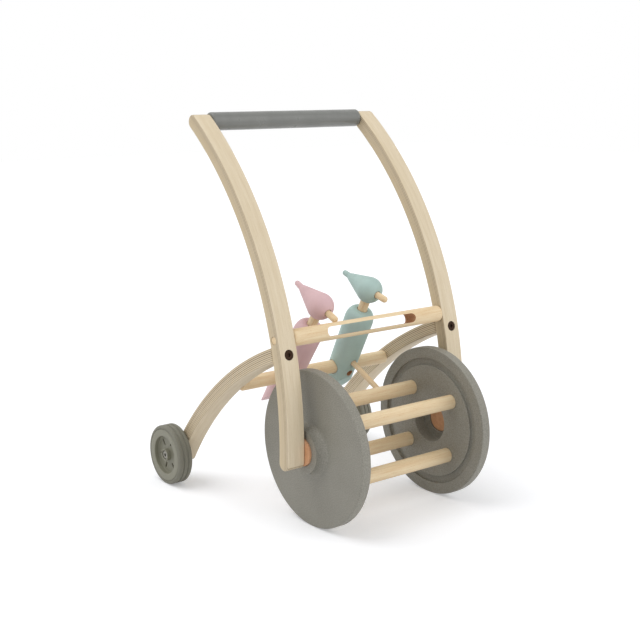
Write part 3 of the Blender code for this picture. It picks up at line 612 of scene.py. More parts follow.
def plies(tree, grain, colours, line):
    """Glue lines and darker side faces over a wood: colours as dress takes them. The darker sides are partly
    the plies' cut edges, partly painted shade.

    The place through the strip, counted in plies, gives the distance from the nearest glue line.
    """
    share, pale, dark = colours
    wood = add(tree, "Mix", {0: share, 6: pale, 7: dark}, data_type="RGBA").outputs[2]
    strips, = sizes("strips")
    layer, half = strips.thickness / strips.plies, strips.thickness / 2
    depth = add(tree, "SeparateXYZ", {0: grain}).outputs[1]
    step = add(tree, "Math", {0: depth, 1: 1 / layer, 2: 0.5}, operation="MULTIPLY_ADD")
    off = add(tree, "Math", {0: step}, operation="FRACT")
    off = add(tree, "Math", {0: off, 1: 0.5}, operation="SUBTRACT")
    off = add(tree, "Math", {0: off}, operation="ABSOLUTE")
    # Glue lines 0.9 mm wide, three times the real width so that they still show from a few steps away
    seam = add(tree, "MapRange", {0: off, 1: 0.5 - 0.0006 / layer, 2: 0.5 - 0.0003 / layer, 3: 0.0, 4: 1.0})
    # No line on the outermost faces
    far = add(tree, "Math", {0: depth}, operation="ABSOLUTE")
    inside = add(tree, "MapRange", {0: far, 1: half - 0.0009, 2: half - 0.0005, 3: 1.0, 4: 0.0})
    # Some lines are fainter than others
    number = add(tree, "Math", {0: step}, operation="ROUND")
    chance = add(tree, "TexWhiteNoise", {"W": number}, noise_dimensions="1D")
    vary = add(tree, "MapRange", {0: chance, 1: 0.0, 2: 1.0, 3: 0.55, 4: 1.0})
    glue = add(tree, "Attribute", attribute_name="glue").outputs["Fac"]
    drawn = add(tree, "Math", {0: seam, 1: inside}, operation="MULTIPLY")
    drawn = add(tree, "Math", {0: drawn, 1: vary}, operation="MULTIPLY")
    drawn = add(tree, "Math", {0: drawn, 1: glue}, operation="MULTIPLY", use_clamp=True)
    # Side faces, where the plies' cut edges show, are mixed toward the darker tone: partly the edges' own
    # tone, partly painted shade; on the posts most towards the inside of the bend
    edge = add(tree, "MapRange", {0: glue, 1: 0.0, 2: 0.9, 3: 0.75, 4: 0.25})
    edge = add(tree, "Math", {0: edge, 1: inside}, operation="MULTIPLY")
    wood = add(tree, "Mix", {0: edge, 6: wood, 7: dark}, data_type="RGBA").outputs[2]
    return drawn, wood, rgba(line)


def painted(name, paint, roughness):
    """Matt water-based paint on turned wood: even colour, faint clouding, a soft orange-peel skin."""
    made, tree = blank(name)
    place = add(tree, "TexCoord").outputs["Object"]
    # Clouding from the brush-off of a thin coat, about 18 mm wide
    cloud = add(tree, "TexNoise", {"Vector": place, "Scale": 1 / 0.018, "Detail": 3.0, "Roughness": 0.55})
    # Skin of the dried coat, about 0.9 mm wide
    peel = add(tree, "TexNoise", {"Vector": place, "Scale": 1 / 0.0009, "Detail": 1.0})
    share = add(tree, "MapRange", {0: cloud, 1: 0.30, 2: 0.70, 3: 0.0, 4: 1.0})
    deep = [channel * 0.90 for channel in paint]
    return dress(made, (share, rgba(paint), rgba(deep)), cloud, (roughness - 0.05, roughness + 0.06),
                 (0.10, 0.0002, peel))


def moulded(name, base, fleck, roughness, grit, strength):
    """Moulded or pressed grey stock: a fine fleck of the given grit in metres, and a matt grained skin."""
    made, tree = blank(name)
    place = add(tree, "TexCoord").outputs["Object"]
    speck = add(tree, "TexNoise", {"Vector": place, "Scale": 1 / grit, "Detail": 2.0, "Roughness": 0.7})
    # Faint clouding from the mould, about 30 mm wide
    cloud = add(tree, "TexNoise", {"Vector": place, "Scale": 1 / 0.03, "Detail": 2.0})
    mix = add(tree, "Math", {0: speck, 1: 0.85, 2: 0.0}, operation="MULTIPLY_ADD")
    mix = add(tree, "Math", {0: cloud, 1: 0.15, 2: mix}, operation="MULTIPLY_ADD")
    share = add(tree, "MapRange", {0: mix, 1: 0.38, 2: 0.64, 3: 0.0, 4: 1.0})
    return dress(made, (share, rgba(base), rgba(fleck)), speck, (roughness - 0.05, roughness + 0.07),
                 (strength, 0.0002, speck))


def metal(name, base, roughness):
    """Turned metal: faint tarnish in spots of about 2 mm."""
    made, tree = blank(name, 1.0)
    place = add(tree, "TexCoord").outputs["Object"]
    cloud = add(tree, "TexNoise", {"Vector": place, "Scale": 1 / 0.002, "Detail": 3.0})
    deep = [channel * 0.75 for channel in base]
    return dress(made, (cloud, rgba(base), rgba(deep)), cloud, (roughness - 0.08, roughness + 0.10))


def finish(slot):
    """Material of a slot, made once and then found by name."""
    tone, = sizes("finish")
    core_dark, tyre_dark = [c * 0.90 for c in tone.core], [c * 0.86 for c in tone.tyre]
    maker, *values = {
        # Bent birch plywood, sanded and oiled: pale silky face, fine layers on the sides
        "laminated_wood": (timber, tone.ply, tone.ply_dark, 0.52, tone.ply_line),
        # Turned beech, sanded: pale with short dark flecks, dull sheen
        "dowel_wood": (timber, tone.dowel, tone.dowel_dark, 0.56),
        # Axle stub's end: darker and warmer brown than the other turned wood, partly the wood's own tone,
        # partly painted shade and warm bounced light of the hub recess
        "stub_wood": (timber, tone.stub, tone.stub_dark, 0.6),
        # Drilled beech left raw: rough and warm
        "bare_wood": (timber, tone.bare, tone.bare_dark, 0.8),
        # Satin paint on wood: low even sheen
        "handle_paint": (painted, tone.handle, 0.32),
        # Matt paint on wood: soft and even
        "pink_paint": (painted, tone.pink, 0.6),
        "green_paint": (painted, tone.green, 0.6),
        # Pressed wood-fibre composite: matt grey with a sand-fine fleck
        "drum_composite": (moulded, tone.drum, tone.drum_dark, 0.5, 0.0012, 0.10),
        # Moulded polypropylene: waxy matt grey
        "wheel_plastic": (moulded, tone.core, core_dark, 0.45, 0.0008, 0.08),
        # Moulded soft rubber: dull grey skin
        "tyre_rubber": (moulded, tone.tyre, tyre_dark, 0.68, 0.0007, 0.15),
        # Blackened steel: dark brown-black, low gloss
        "dark_metal": (metal, tone.bolt, 0.45),
        # Zinc plated steel: soft grey gloss
        "steel": (metal, tone.steel, 0.38),
        # Turned brass: warm yellow gloss
        "brass": (metal, tone.brass, 0.35),
    }[slot]
    return bpy.data.materials.get("walker_" + slot) or maker("walker_" + slot, *values)


# Shared geometry of the frame

def post_centre(strips):
    """Bend centre (y, z) of the posts."""
    reach = math.sqrt(strips.post_radius ** 2 - strips.post_rise ** 2)
    return np.array((DRUM_AXLE.y + reach, DRUM_AXLE.z + strips.post_rise))


def post_point(strips, angle, offset=0.0):
    """Points (y, z) of the post at angles up its bend, offset to the front."""
    radius = strips.post_radius + offset
    return post_centre(strips) + np.stack([-radius * np.cos(angle), radius * np.sin(angle)], -1)


def leg_centre(strips):
    """Bend centre (y, z) of the legs: they start in the post's middle and pass the rear axle."""
    start = post_point(strips, strips.joint_angle)
    half = (np.array((REAR_AXLE.y, REAR_AXLE.z)) - start) / 2
    away = math.sqrt(strips.leg_radius ** 2 - half @ half)
    return start + half + np.array((half[1], -half[0])) / np.linalg.norm(half) * away


def bolt_matrix(strips, side):
    """Matrix on a frame bolt's axis in the post's middle, Z out of the post's front."""
    out = (0.0, -math.cos(strips.bolt_angle), math.sin(strips.bolt_angle))
    return aim((side * (INNER_X + OUTER_X) / 2, *post_point(strips, strips.bolt_angle)), out)


def strip(name, runs, side, ease):
    """Bent strip: point(s, v) = spine(s) + (rim(s) - spine(s)) d(v), at the cross place x(v).

    Runs are pairs of rim and spine points, where one spine point may serve a whole run. d and x follow half a
    rounded box: the side face from the spine out, the eased edge, the wall, and back.
    """
    rim = np.vstack([edge for edge, line in runs])
    spine = np.vstack([np.broadcast_to(line, edge.shape) for edge, line in runs])
    half = sizes("strips")[0].thickness / 2
    wide = (OUTER_X - INNER_X) / 2
    section = mirrored(filleted([(0, wide, 0), (half * 0.5, wide, 0), (half, wide, ease), (half, 0, 0)], 4))
    share = section[:, 0] / half
    flat = spine[:, None] + (rim - spine)[:, None] * share[:, None]
    x = np.tile(side * (INNER_X + OUTER_X) / 2 + section[:, 1], (len(rim), 1))
    return skin(name, np.concatenate([x[..., None], flat], -1), True, False)


def half_turn(middle_point, start, ahead, steps=18):
    """Half circle about a middle, from a start direction over the direction ahead to the other side."""
    angle = np.linspace(0, math.pi, steps + 1)[1:-1, None]
    return middle_point + start * np.cos(angle) + ahead * np.sin(angle)


class WALKER_OT_bent_strips(bpy.types.Operator):
    """Build the bent posts and legs of laminated wood"""

    bl_idname = "walker.bent_strips"
    bl_label = "Bent posts and legs"

    def execute(self, context):
        strips, bars, screws = sizes("strips", "bars", "screws")
        fit, front, deep = strips.fit, strips.thickness / 2, INNER_X + bars.tenon_depth + strips.fit
        under = front - screws.bolt_recess - screws.bolt_height - fit
        insert, reach = screws.insert_radius + fit, screws.insert_length + 2 * MM
        for word, side in SIDES:
            bolt = bolt_matrix(strips, side)

            def along_bolt(name, radius, low, high):
                return rod(name, radius, bolt @ Vector((0, 0, low)), bolt @ Vector((0, 0, high)))

            tools = [cross_rod("tenon_hole", bars.tenon_radius + fit, side, place.yz, INNER_X - MM, end)
                     for place, end in ((HANDLE, deep), (SOUND_BAR, OUTER_X + MM), (DRUM_AXLE, deep))]
            tools += [along_bolt("bolt_seat", screws.bolt_radius + fit, under, 2 * front),
                      along_bolt("bolt_hole", screws.thread_radius + fit, -2 * front, front)]
            mesh = bored(self.post(strips, word, side), "laminated_wood", tools)
            bent_grain(mesh, post_centre(strips), strips.post_radius, 0.0, GLUE)
            piece(mesh, "frame", "post_" + word, "laminated_wood")
            tools = [cross_rod("perch_hole", bars.perch_tenon + fit, side, PERCH.yz, INNER_X - MM, deep),
                     cross_rod("axle_hole", insert, side, REAR_AXLE.yz, OUTER_X + MM, OUTER_X - reach),
                     along_bolt("insert_hole", insert, -front - reach - MM, 0)]
            mesh = bored(self.leg(strips, word, side), "laminated_wood", tools)
            bent_grain(mesh, leg_centre(strips), strips.leg_radius, GLUE, GLUE)
            piece(mesh, "frame", "leg_" + word, "laminated_wood")
        return {"FINISHED"}

    def post(self, strips, word, side, steps=90):
        """Post with round ends: every rim point lies half a thickness off the bend's middle line."""
        half, last = strips.thickness / 2, strips.handle_angle
        foot = -math.asin((strips.post_rise + strips.foot_drop) / strips.post_radius)
        angle = np.linspace(foot, last, steps + 1)
        spine, front, back = (post_point(strips, angle, offset) for offset in (0.0, half, -half))
        up = np.array((math.sin(last), math.cos(last)))
        down = -np.array((math.sin(foot), math.cos(foot)))
        top = half_turn(spine[-1], front[-1] - spine[-1], up * half)
        toe = half_turn(spine[0], back[0] - spine[0], down * half)
        runs = ((front, spine), (top, spine[-1]), (back[::-1], spine[::-1]), (toe, spine[0]))
        return strip("bent_post_" + word, runs, side, strips.ease)

    def leg(self, strips, word, side, steps=60):
        """Leg from a butt end on the post's back to a round end past the axle, round its own bend.

        The butt angle at an offset is where that circle of the leg meets the circle of the post's back.
        """
        half, radius = strips.thickness / 2, strips.leg_radius
        centre = leg_centre(strips)
        apart = post_centre(strips) - centre
        gap = np.linalg.norm(apart)

        def butt(offset):
            reach = radius + offset
            face = strips.post_radius - half - strips.fit
            along = (reach ** 2 - face ** 2 + gap ** 2) / (2 * gap)
            return math.atan2(apart[1], apart[0]) + np.arccos(along / reach)

        def at(angle, offset):
            reach = radius + offset
            return centre + np.stack([reach * np.cos(angle), reach * np.sin(angle)], -1)

        end = math.atan2(REAR_AXLE.z - centre[1], REAR_AXLE.y - centre[0]) - strips.leg_tail / radius
        share = np.linspace(0, 1, steps + 1)
        first = float(butt(0.0)) - half / radius
        spine = at(first + (end - first) * share, 0.0)
        outer, inner = (at(butt(offset) + (end - butt(offset)) * share, offset) for offset in (half, -half))
        ahead = np.array((math.sin(end), -math.cos(end)))
        toe = half_turn(spine[-1], outer[-1] - spine[-1], ahead * half)
        width = np.linspace(-half, half, 9)[1:-1]
        runs = ((outer, spine), (toe, spine[-1]), (inner[::-1], spine[::-1]),
                (at(butt(width), width), spine[0]))
        return strip("bent_leg_" + word, runs, side, strips.ease * LEG_EASE)


class WALKER_OT_cross_bars(bpy.types.Operator):
    """Build the push handle, the slotted sound bar and the perch rod"""

    bl_idname = "walker.cross_bars"
    bl_label = "Handle, sound bar and perch"

    def execute(self, context):
        strips, bars = sizes("strips", "bars")
        deep, through = INNER_X + bars.tenon_depth, OUTER_X - strips.fit
        mesh = self.bar("push_handle", bars.handle_radius, bars.handle_round, bars.tenon_radius, deep, HANDLE)
        piece(mesh, "frame", "handle_bar", "handle_paint")
        mesh = self.bar("pecked_bar", bars.sound_radius, bars.sound_round, bars.tenon_radius, through,
                        SOUND_BAR)
        tilt = Matrix.Rotation(math.pi / 2 - bars.slot_tilt, 4, "X")
        slot = prism("sound_slot", stadium(bars.slot_length, bars.slot_height), 2 * bars.sound_radius,
                     Matrix.Translation((0, *SOUND_BAR.yz)) @ tilt)
        mesh = bored(mesh, "dowel_wood", [slot], "bare_wood")
        piece(mesh, "frame", "sound_bar", "dowel_wood", across(SOUND_BAR))
        mesh = self.bar("bird_perch", bars.perch_radius, bars.perch_round, bars.perch_tenon, deep, PERCH)
        piece(mesh, "frame", "perch_rod", "dowel_wood", across(PERCH))
        return {"FINISHED"}

    def bar(self, name, radius, shoulder, tenon, end, place):
        """Turned bar: tenon, flat shoulder and rounded edge at each end of a straight wall."""
        half = INNER_X - sizes("strips")[0].fit
        upper = filleted([(0, end, 0), (tenon, end, TENON_EDGE), (tenon, half, 0), (radius, half, shoulder),
                          (radius, 0, 0)], 8)
        return turned(name, mirrored(upper), across(place))


class WALKER_OT_axle_stubs(bpy.types.Operator):
    """Build the wooden stubs that the drum turns on"""

    bl_idname = "walker.axle_stubs"
    bl_label = "Axle stubs"

    def execute(self, context):
        strips, bars = sizes("strips", "bars")
        deep, face, tip = INNER_X + bars.tenon_depth, INNER_X - strips.fit, INNER_X - bars.stub_length
        face_edge, tip_edge = 0.0003, 0.001
        profile = filleted([(0, deep, 0), (bars.tenon_radius, deep, 0), (bars.tenon_radius, face, 0),
                            (bars.stub_radius, face, face_edge), (bars.stub_radius, tip, tip_edge),
                            (0, tip, 0)], 4)
        for word, side in SIDES:
            place = across(DRUM_AXLE, side)
            mesh = turned("wooden_stub_" + word, profile, place)
            piece(mesh, "frame", "axle_stub_" + word, "stub_wood", place)
        return {"FINISHED"}


class WALKER_OT_fasteners(bpy.types.Operator):
    """Build the bolts, axle screws, spacers and threaded inserts"""

    bl_idname = "walker.fasteners"
    bl_label = "Bolts, screws and inserts"

    def execute(self, context):
        strips, screws, rear = sizes("strips", "screws", "rear")
        fit, thread = strips.fit, screws.thread_radius
        bolt_top, sleeve_top = strips.thickness / 2 - screws.bolt_recess, -strips.thickness / 2 - SLEEVE_SINK
        axle_top, axle_end = REAR_OUTER_X - screws.head_recess, OUTER_X + fit
        tip = MM - screws.insert_length
        for word, side in SIDES:
            bolt, axle = bolt_matrix(strips, side), across(REAR_AXLE, side)
            mesh = self.screw("hex_bolt_" + word, bolt, bolt_top, screws.bolt_height, screws.bolt_radius,
                              [(thread, sleeve_top + tip)])
            piece(mesh, "frame", "frame_bolt_" + word, "dark_metal")
            mesh = self.screw("axle_screw_head_" + word, axle, axle_top, screws.head_height,
                              screws.head_radius, [(screws.axle_radius, axle_end), (thread, OUTER_X + tip)])
            piece(mesh, "frame", "axle_screw_" + word, "steel")
            mesh = self.sleeve("washer_" + word, axle, screws.axle_radius + fit, rear.spacer_radius,
                               axle_end, REAR_INNER_X - fit)
            piece(mesh, "frame", "axle_spacer_" + word, "steel")
            for label, matrix, end in (("frame", bolt, sleeve_top), ("axle", axle, OUTER_X - fit)):
                mesh = self.sleeve(f"{label}_sleeve_{word}", matrix, thread + fit, screws.insert_radius,
                                   end - screws.insert_length, end)
                piece(mesh, "frame", f"{label}_insert_{word}", "brass")
        return {"FINISHED"}

    def screw(self, name, matrix, top, height, radius, shanks):
        """Screw: hexagon socket, eased head, then each shank of the given radius down to its end."""
        screws, = sizes("screws")
        key, floor, under = screws.key_radius, top - screws.key_depth, top - height
        top_edge, under_edge, key_edge, key_mouth, key_tip = 0.0007, 0.0002, 0.0002, 1.12 * key, 0.35 * key
        edge = filleted([(key_mouth, top, 0), (radius, top, top_edge), (radius, under, under_edge),
                         (shanks[0][0], under, 0)], 4)
        starts = [under, *(end for _, end in shanks)]
        shaft = [(r, h) for (r, end), start in zip(shanks, starts) for h in (start, end)]
        profile = [(0, floor - key_tip), (key, floor), (key, top - key_edge), *edge.tolist(), *shaft[1:],
                   (0, shaft[-1][1])]
        return turned(name, profile, matrix, 72, hexagon=(1, 2))

    def sleeve(self, name, matrix, inner, outer, low, high):
        """Ring: a filleted box section turned about the axis."""
        bore_edge, rim_edge = 0.0002, 0.0004
        section = filleted([(inner, high, bore_edge), (outer, high, rim_edge), (outer, low, rim_edge),
                            (inner, low, bore_edge)], 3, closed=True)
        return turned(name, section, matrix, 72, ring=True)


class WALKER_OT_drum(bpy.types.Operator):
    """Build the two drum wheels and the four dowels between them"""

    bl_idname = "walker.drum"
    bl_label = "Dowel drum"

    def execute(self, context):
        drum, strips = sizes("drum", "strips")
        start, reach, radius = drum.half_gap - 5 * MM, drum.half_gap + drum.socket, drum.dowel_radius
        angles = [drum.phase - number * 2 * math.pi / DOWELS for number in range(DOWELS)]
        places = [(DRUM_AXLE.y + drum.dowel_circle * math.cos(angle),
                   DRUM_AXLE.z + drum.dowel_circle * math.sin(angle)) for angle in angles]
        for word, side in SIDES:
            wheel = turned("drum_disc_" + word, self.section(drum), across(DRUM_AXLE, side), 192, ring=True)
            tools = [cross_rod("dowel_socket", radius + strips.fit, side, place, start, reach, 72)
                     for place in places]
            piece(bored(wheel, "drum_composite", tools), "drum", "drum_wheel_" + word, "drum_composite")
        end, end_edge = reach - strips.fit, 0.0008
        upper = filleted([(0, end, 0), (radius, end, end_edge), (radius, 0, 0)], 3)
        for number, place in enumerate(places, 1):
            matrix = across(Vector((0, *place)))
            mesh = turned(f"cross_dowel_{number}", mirrored(upper), matrix, 72)
            piece(mesh, "drum", f"drum_dowel_{number}", "dowel_wood", matrix)
        return {"FINISHED"}

    def section(self, drum):
        """Closed half section of a wheel: hub face, elliptic flare, disc, rim, groove and hub recess."""
        bore = sizes("bars")[0].stub_radius + drum.run
        inner = drum.half_gap
        outer, hub = inner + drum.rim_width, INNER_X - drum.post_gap
        floor, low = hub - drum.bearing, inner + drum.groove_depth
        groove_edge, groove_corner, bore_edge = 0.0005, 0.0006, 0.0004
        recess_edge, recess_corner = 0.0008, 0.001
        flare = arc((drum.flare_radius, hub), (drum.flare_radius - drum.hub_radius, hub - outer),
                    184, 270, 14)
        rest = filleted([(drum.flare_radius, outer, 0), (drum.radius, outer, drum.rim_round),
                         (drum.radius, inner, drum.inner_ease), (drum.groove_outer, inner, groove_edge),
                         (drum.groove_outer, low, groove_corner), (drum.groove_inner, low, groove_corner),
                         (drum.groove_inner, inner, groove_edge), (drum.recess_radius, inner, recess_edge),
                         (drum.recess_radius, floor, recess_corner), (bore, floor, bore_edge),
                         (bore, hub, bore_edge), (drum.hub_radius, hub, 0.0)], 6)
        return np.vstack([flare, rest[1:]])


class WALKER_OT_rear_wheels(bpy.types.Operator):
    """Build the rear wheels: slotted cores and grooved tyres"""

    bl_idname = "walker.rear_wheels"
    bl_label = "Rear wheels"

    def execute(self, context):
        rear, = sizes("rear")
        high, low = REAR_OUTER_X - rear.web_recess, REAR_INNER_X + rear.web_back
        depth = (high - low) / 2 + 2 * MM
        outline = stadium(rear.slot_end - rear.slot_start, rear.slot_width, 8)
        out = (rear.slot_start + rear.slot_end) / 2
        for word, side in SIDES:
            axle = across(REAR_AXLE, side)
            core = turned("wheel_core_" + word, self.core(rear), axle, 128, ring=True)
            tools = []
            for number in range(rear.slots):
                angle = 2 * math.pi * (number + rear.slot_turn) / rear.slots
                ray = Vector((0.0, math.cos(angle), math.sin(angle)))
                place = Vector((side * (high + low) / 2, *REAR_AXLE.yz)) + ray * out
                facing = Matrix((ray, Vector((1, 0, 0)).cross(ray), (1, 0, 0))).transposed().to_4x4()
                tools.append(prism("web_slot", outline, depth, Matrix.Translation(place) @ facing))
            mesh = bored(core, "wheel_plastic", tools)
            piece(mesh, "rear_wheel_" + word, "rear_core_" + word, "wheel_plastic")
            mesh = turned("wheel_tyre_" + word, self.tyre(rear), axle, 160, ring=True)
            piece(mesh, "rear_wheel_" + word, "rear_tyre_" + word, "tyre_rubber")
        return {"FINISHED"}

    def core(self, rear):
        """Closed half section of a core: screw seat, hub tube, dished web, flat ring and bore."""
        screws, drum = sizes("screws", "drum")
        run, inner, outer = drum.run, REAR_INNER_X, REAR_OUTER_X
        bore, seat = screws.axle_radius + run, screws.head_radius + 2 * run
        floor = outer - screws.head_height - screws.head_recess - run
        web, back = outer - rear.web_recess, inner + rear.web_back
        edge, ring_edge, bore_edge, hub_corner, web_corner = 0.0005, 0.0008, 0.0003, 0.001, 0.0016
        return filleted([(seat, outer, edge), (rear.hub_radius, outer, edge),
                         (rear.hub_radius, web, hub_corner), (rear.web_radius, web, web_corner),
                         (rear.web_radius, outer, ring_edge),
                         (rear.seat_radius, outer, edge), (rear.seat_radius, inner, edge),
                         (rear.web_radius, inner, ring_edge), (rear.web_radius, back, web_corner),
                         (rear.hub_radius, back, hub_corner), (rear.hub_radius, inner, edge),
                         (bore, inner, bore_edge), (bore, floor, 0.0), (seat, floor, 0.0)], 5, closed=True)

    def tyre(self, rear):
        """Closed half section of a tyre: flat sides, round shoulders, two shallow grooves in the tread."""
        seat = rear.seat_radius + sizes("strips")[0].fit
        half = (REAR_OUTER_X - REAR_INNER_X) / 2
        low, top = rear.radius - rear.tread_depth, rear.radius
        edge, corner = 0.0004, 0.0003
        # A groove's mouth and floor, outer and inner edge, as shares of the half width
        mouth_out, floor_out, floor_in, mouth_in = (half * share for share in (0.45, 0.38, 0.27, 0.20))
        upper = [(seat, half, edge), (top, half, rear.shoulder), (top, mouth_out, edge),
                 (low, floor_out, corner), (low, floor_in, corner), (top, mouth_in, edge)]
        lower = [(r, -h, f) for r, h, f in reversed(upper)]
        section = filleted(upper + lower, 6, closed=True)
        return section + (0.0, (REAR_OUTER_X + REAR_INNER_X) / 2)


class WALKER_OT_birds(bpy.types.Operator):
    """Build the pink and the green bird: body, neck, head, beak and peg"""

    bl_idname = "walker.birds"
    bl_label = "Pecking birds"

    def execute(self, context):
        birds, = sizes("birds")
        lean = self.peck_lean(birds)
        self.bird(birds, "left", -1, lean, "pink_paint")
        self.bird(birds, "right", 1, lean - birds.raised, "green_paint")
        return {"FINISHED"}

    def beak_way(self, birds):
        """Direction of the beak in the bird's own frame, forward and a little up."""
        return Vector((0.0, -math.cos(birds.beak_tilt), math.sin(birds.beak_tilt)))

    def peck_lean(self, birds):
        """Forward lean at which the round beak end rests on the sound bar."""
        strips, bars = sizes("strips", "bars")
        beak = self.beak_way(birds) * (birds.beak_reach - birds.beak_radius)
        tip = Vector((0, 0, birds.head_height)) + beak
        bar = Vector((SOUND_BAR.y - PERCH.y, SOUND_BAR.z - PERCH.z))
        reach = math.hypot(tip.y, tip.z)
        apart = bars.sound_radius + birds.beak_radius + strips.fit
        spread = (reach ** 2 + bar.length_squared - apart ** 2) / (2 * reach * bar.length)
        return math.atan2(bar.y, bar.x) - math.acos(spread) - math.atan2(tip.z, tip.y)

    def peg_reach(self, birds):
        """Length along the peg from the body's axis to the middle of its round end."""
        drum, = sizes("drum")
        away = math.hypot(PERCH.y - DRUM_AXLE.y, PERCH.z - DRUM_AXLE.z)
        reach = away - drum.dowel_circle - drum.dowel_radius + birds.peg_overlap - birds.peg_radius
        along = math.sqrt(reach ** 2 - (birds.peg_height * math.cos(birds.peg_droop)) ** 2)
        return birds.peg_height * math.sin(birds.peg_droop) + along

    def bird(self, birds, word, side, lean, paint):
        """All pieces of one bird, in its own frame on the perch rod."""
        strips, bars = sizes("strips", "bars")
        fit, mouth, rider = strips.fit, birds.mouth, "bird_" + word
        stand = Matrix.Translation((side * BIRD_X, *PERCH.yz)) @ Matrix.Rotation(lean, 4, "X")
        neck_low = birds.top - birds.neck_socket
        neck_high = birds.head_height - birds.head_radius + birds.neck_socket
        wide = 2 * birds.shoulder_radius
        head_middle, peg_root = Vector((0, 0, birds.head_height)), Vector((0, 0, birds.peg_height))
        beak = self.beak_way(birds)
        peg = Vector((0.0, -math.cos(birds.peg_droop), -math.sin(birds.peg_droop)))
        beak_start, peg_start = birds.head_radius - birds.beak_socket, birds.tail_radius - birds.peg_socket

        def drill(label, radius, start, end):
            return rod(label, radius, stand @ Vector(start), stand @ Vector(end))

        def neck_hole():
            return drill("neck_hole", birds.neck_radius + mouth, (0, 0, neck_low - fit),
                         (0, 0, neck_high + fit))

        tools = [drill("rod_hole", bars.perch_radius + birds.play, (-wide, 0, 0), (wide, 0, 0)), neck_hole()]
        for root in (peg_root, Vector((0, 0, birds.spare_height))):
            tools.append(drill("peg_hole", birds.peg_radius + mouth, root + peg * (peg_start - fit),
                               root + peg * wide))
        mesh = bored(self.body(birds, word, stand), paint, tools, "bare_wood")
        piece(mesh, rider, "bird_body_" + word, paint, stand)

        front = (0.0, -math.cos(birds.head_tilt), math.sin(birds.head_tilt))
        mesh = turned("crested_head_" + word, self.head(birds), stand @ aim(head_middle, front))
        tools = [neck_hole(), drill("beak_hole", birds.beak_radius + mouth,
                                    head_middle + beak * (beak_start - fit),
                                    head_middle + beak * birds.beak_reach)]
        piece(bored(mesh, paint, tools, "bare_wood"), rider, "bird_head_" + word, paint, stand)

        ends = filleted([(0, neck_high, 0), (birds.neck_radius, neck_high, TENON_EDGE),
                         (birds.neck_radius, neck_low, TENON_EDGE), (0, neck_low, 0)], 3)
        mesh = turned("wooden_neck_" + word, ends, stand, 72)
        piece(mesh, rider, "bird_neck_" + word, "dowel_wood", stand)
        peg_end = self.peg_reach(birds) + birds.peg_radius
        for label, node, radius, reach, start, place in (
                ("beak_", "bird_beak_", birds.beak_radius, birds.beak_reach, beak_start,
                 aim(head_middle, beak)),
                ("lifting_peg_", "bird_peg_", birds.peg_radius, peg_end, peg_start, aim(peg_root, peg))):
            tip = arc((0, reach - radius), (radius, radius), 90, 0, 10)
            profile = np.vstack([tip, [(radius, start), (0, start)]])
            mesh = turned("round_" + label + word, profile, stand @ place, 64)
            piece(mesh, rider, node + word, "dowel_wood", stand @ place)

    def body(self, birds, word, stand):
        """Turned body, cut off aslant at the tail: flat top, elliptic shoulder, straight slow taper.

        The cut is a flat face whose rim is rounded over.
        """
        shoulder = arc((birds.top_flat, birds.top - birds.shoulder_height),
                       (birds.shoulder_radius - birds.top_flat, birds.shoulder_height), 90, 0, 16)
        tail = [(birds.tail_radius, -birds.tail), (0, -birds.tail)]
        profile = np.vstack([[(0, birds.top)], shoulder, tail])
        mesh = turned("bird_bell_" + word, profile, stand)
        down = stand.to_3x3() @ Vector((0.0, -math.sin(birds.cut_angle), -math.cos(birds.cut_angle)))
        bm = bmesh.new()
        bm.from_mesh(mesh)
        found = bmesh.ops.bisect_plane(bm, geom=[*bm.verts, *bm.edges, *bm.faces], dist=1e-7,
                                       plane_co=stand @ Vector((0, 0, -birds.cut_drop)), plane_no=down,
                                       clear_outer=True)
        rim = [edge for edge in found["geom_cut"] if isinstance(edge, bmesh.types.BMEdge)]
        cap = bmesh.ops.contextual_create(bm, geom=rim)["faces"]
        bmesh.ops.recalc_face_normals(bm, faces=bm.faces)
        edges = list({edge for face in cap for edge in face.edges})
        bmesh.ops.bevel(bm, geom=edges, offset=birds.cut_round, offset_type="OFFSET", segments=3, profile=0.5,
                        affect="EDGES", clamp_overlap=True)
        bm.to_mesh(mesh)
        bm.free()
        return mesh

    def head(self, birds):
        """Half section of a head: ball, straight taper, a small step and a stubby round-ended crest."""
        root, tip = birds.crest_root_radius, birds.crest_tip_radius
        taper = math.degrees(math.asin((birds.head_radius - root) / birds.crest_root))
        ball = arc((0, 0), (birds.head_radius, birds.head_radius), 90, -taper, 24)
        nub = arc((0, tip - birds.crest_tip), (tip, tip), 2, -90, 12)
        step_edge, step_corner = 0.0006, 0.0005
        step = filleted([(*ball[-1], 0), (root, -birds.crest_root, step_edge),
                         (birds.crest_neck_radius, -birds.crest_root - birds.crest_step, step_corner),
                         (*nub[0], 0)], 5)
        return np.vstack([ball, step[1:-1], nub])


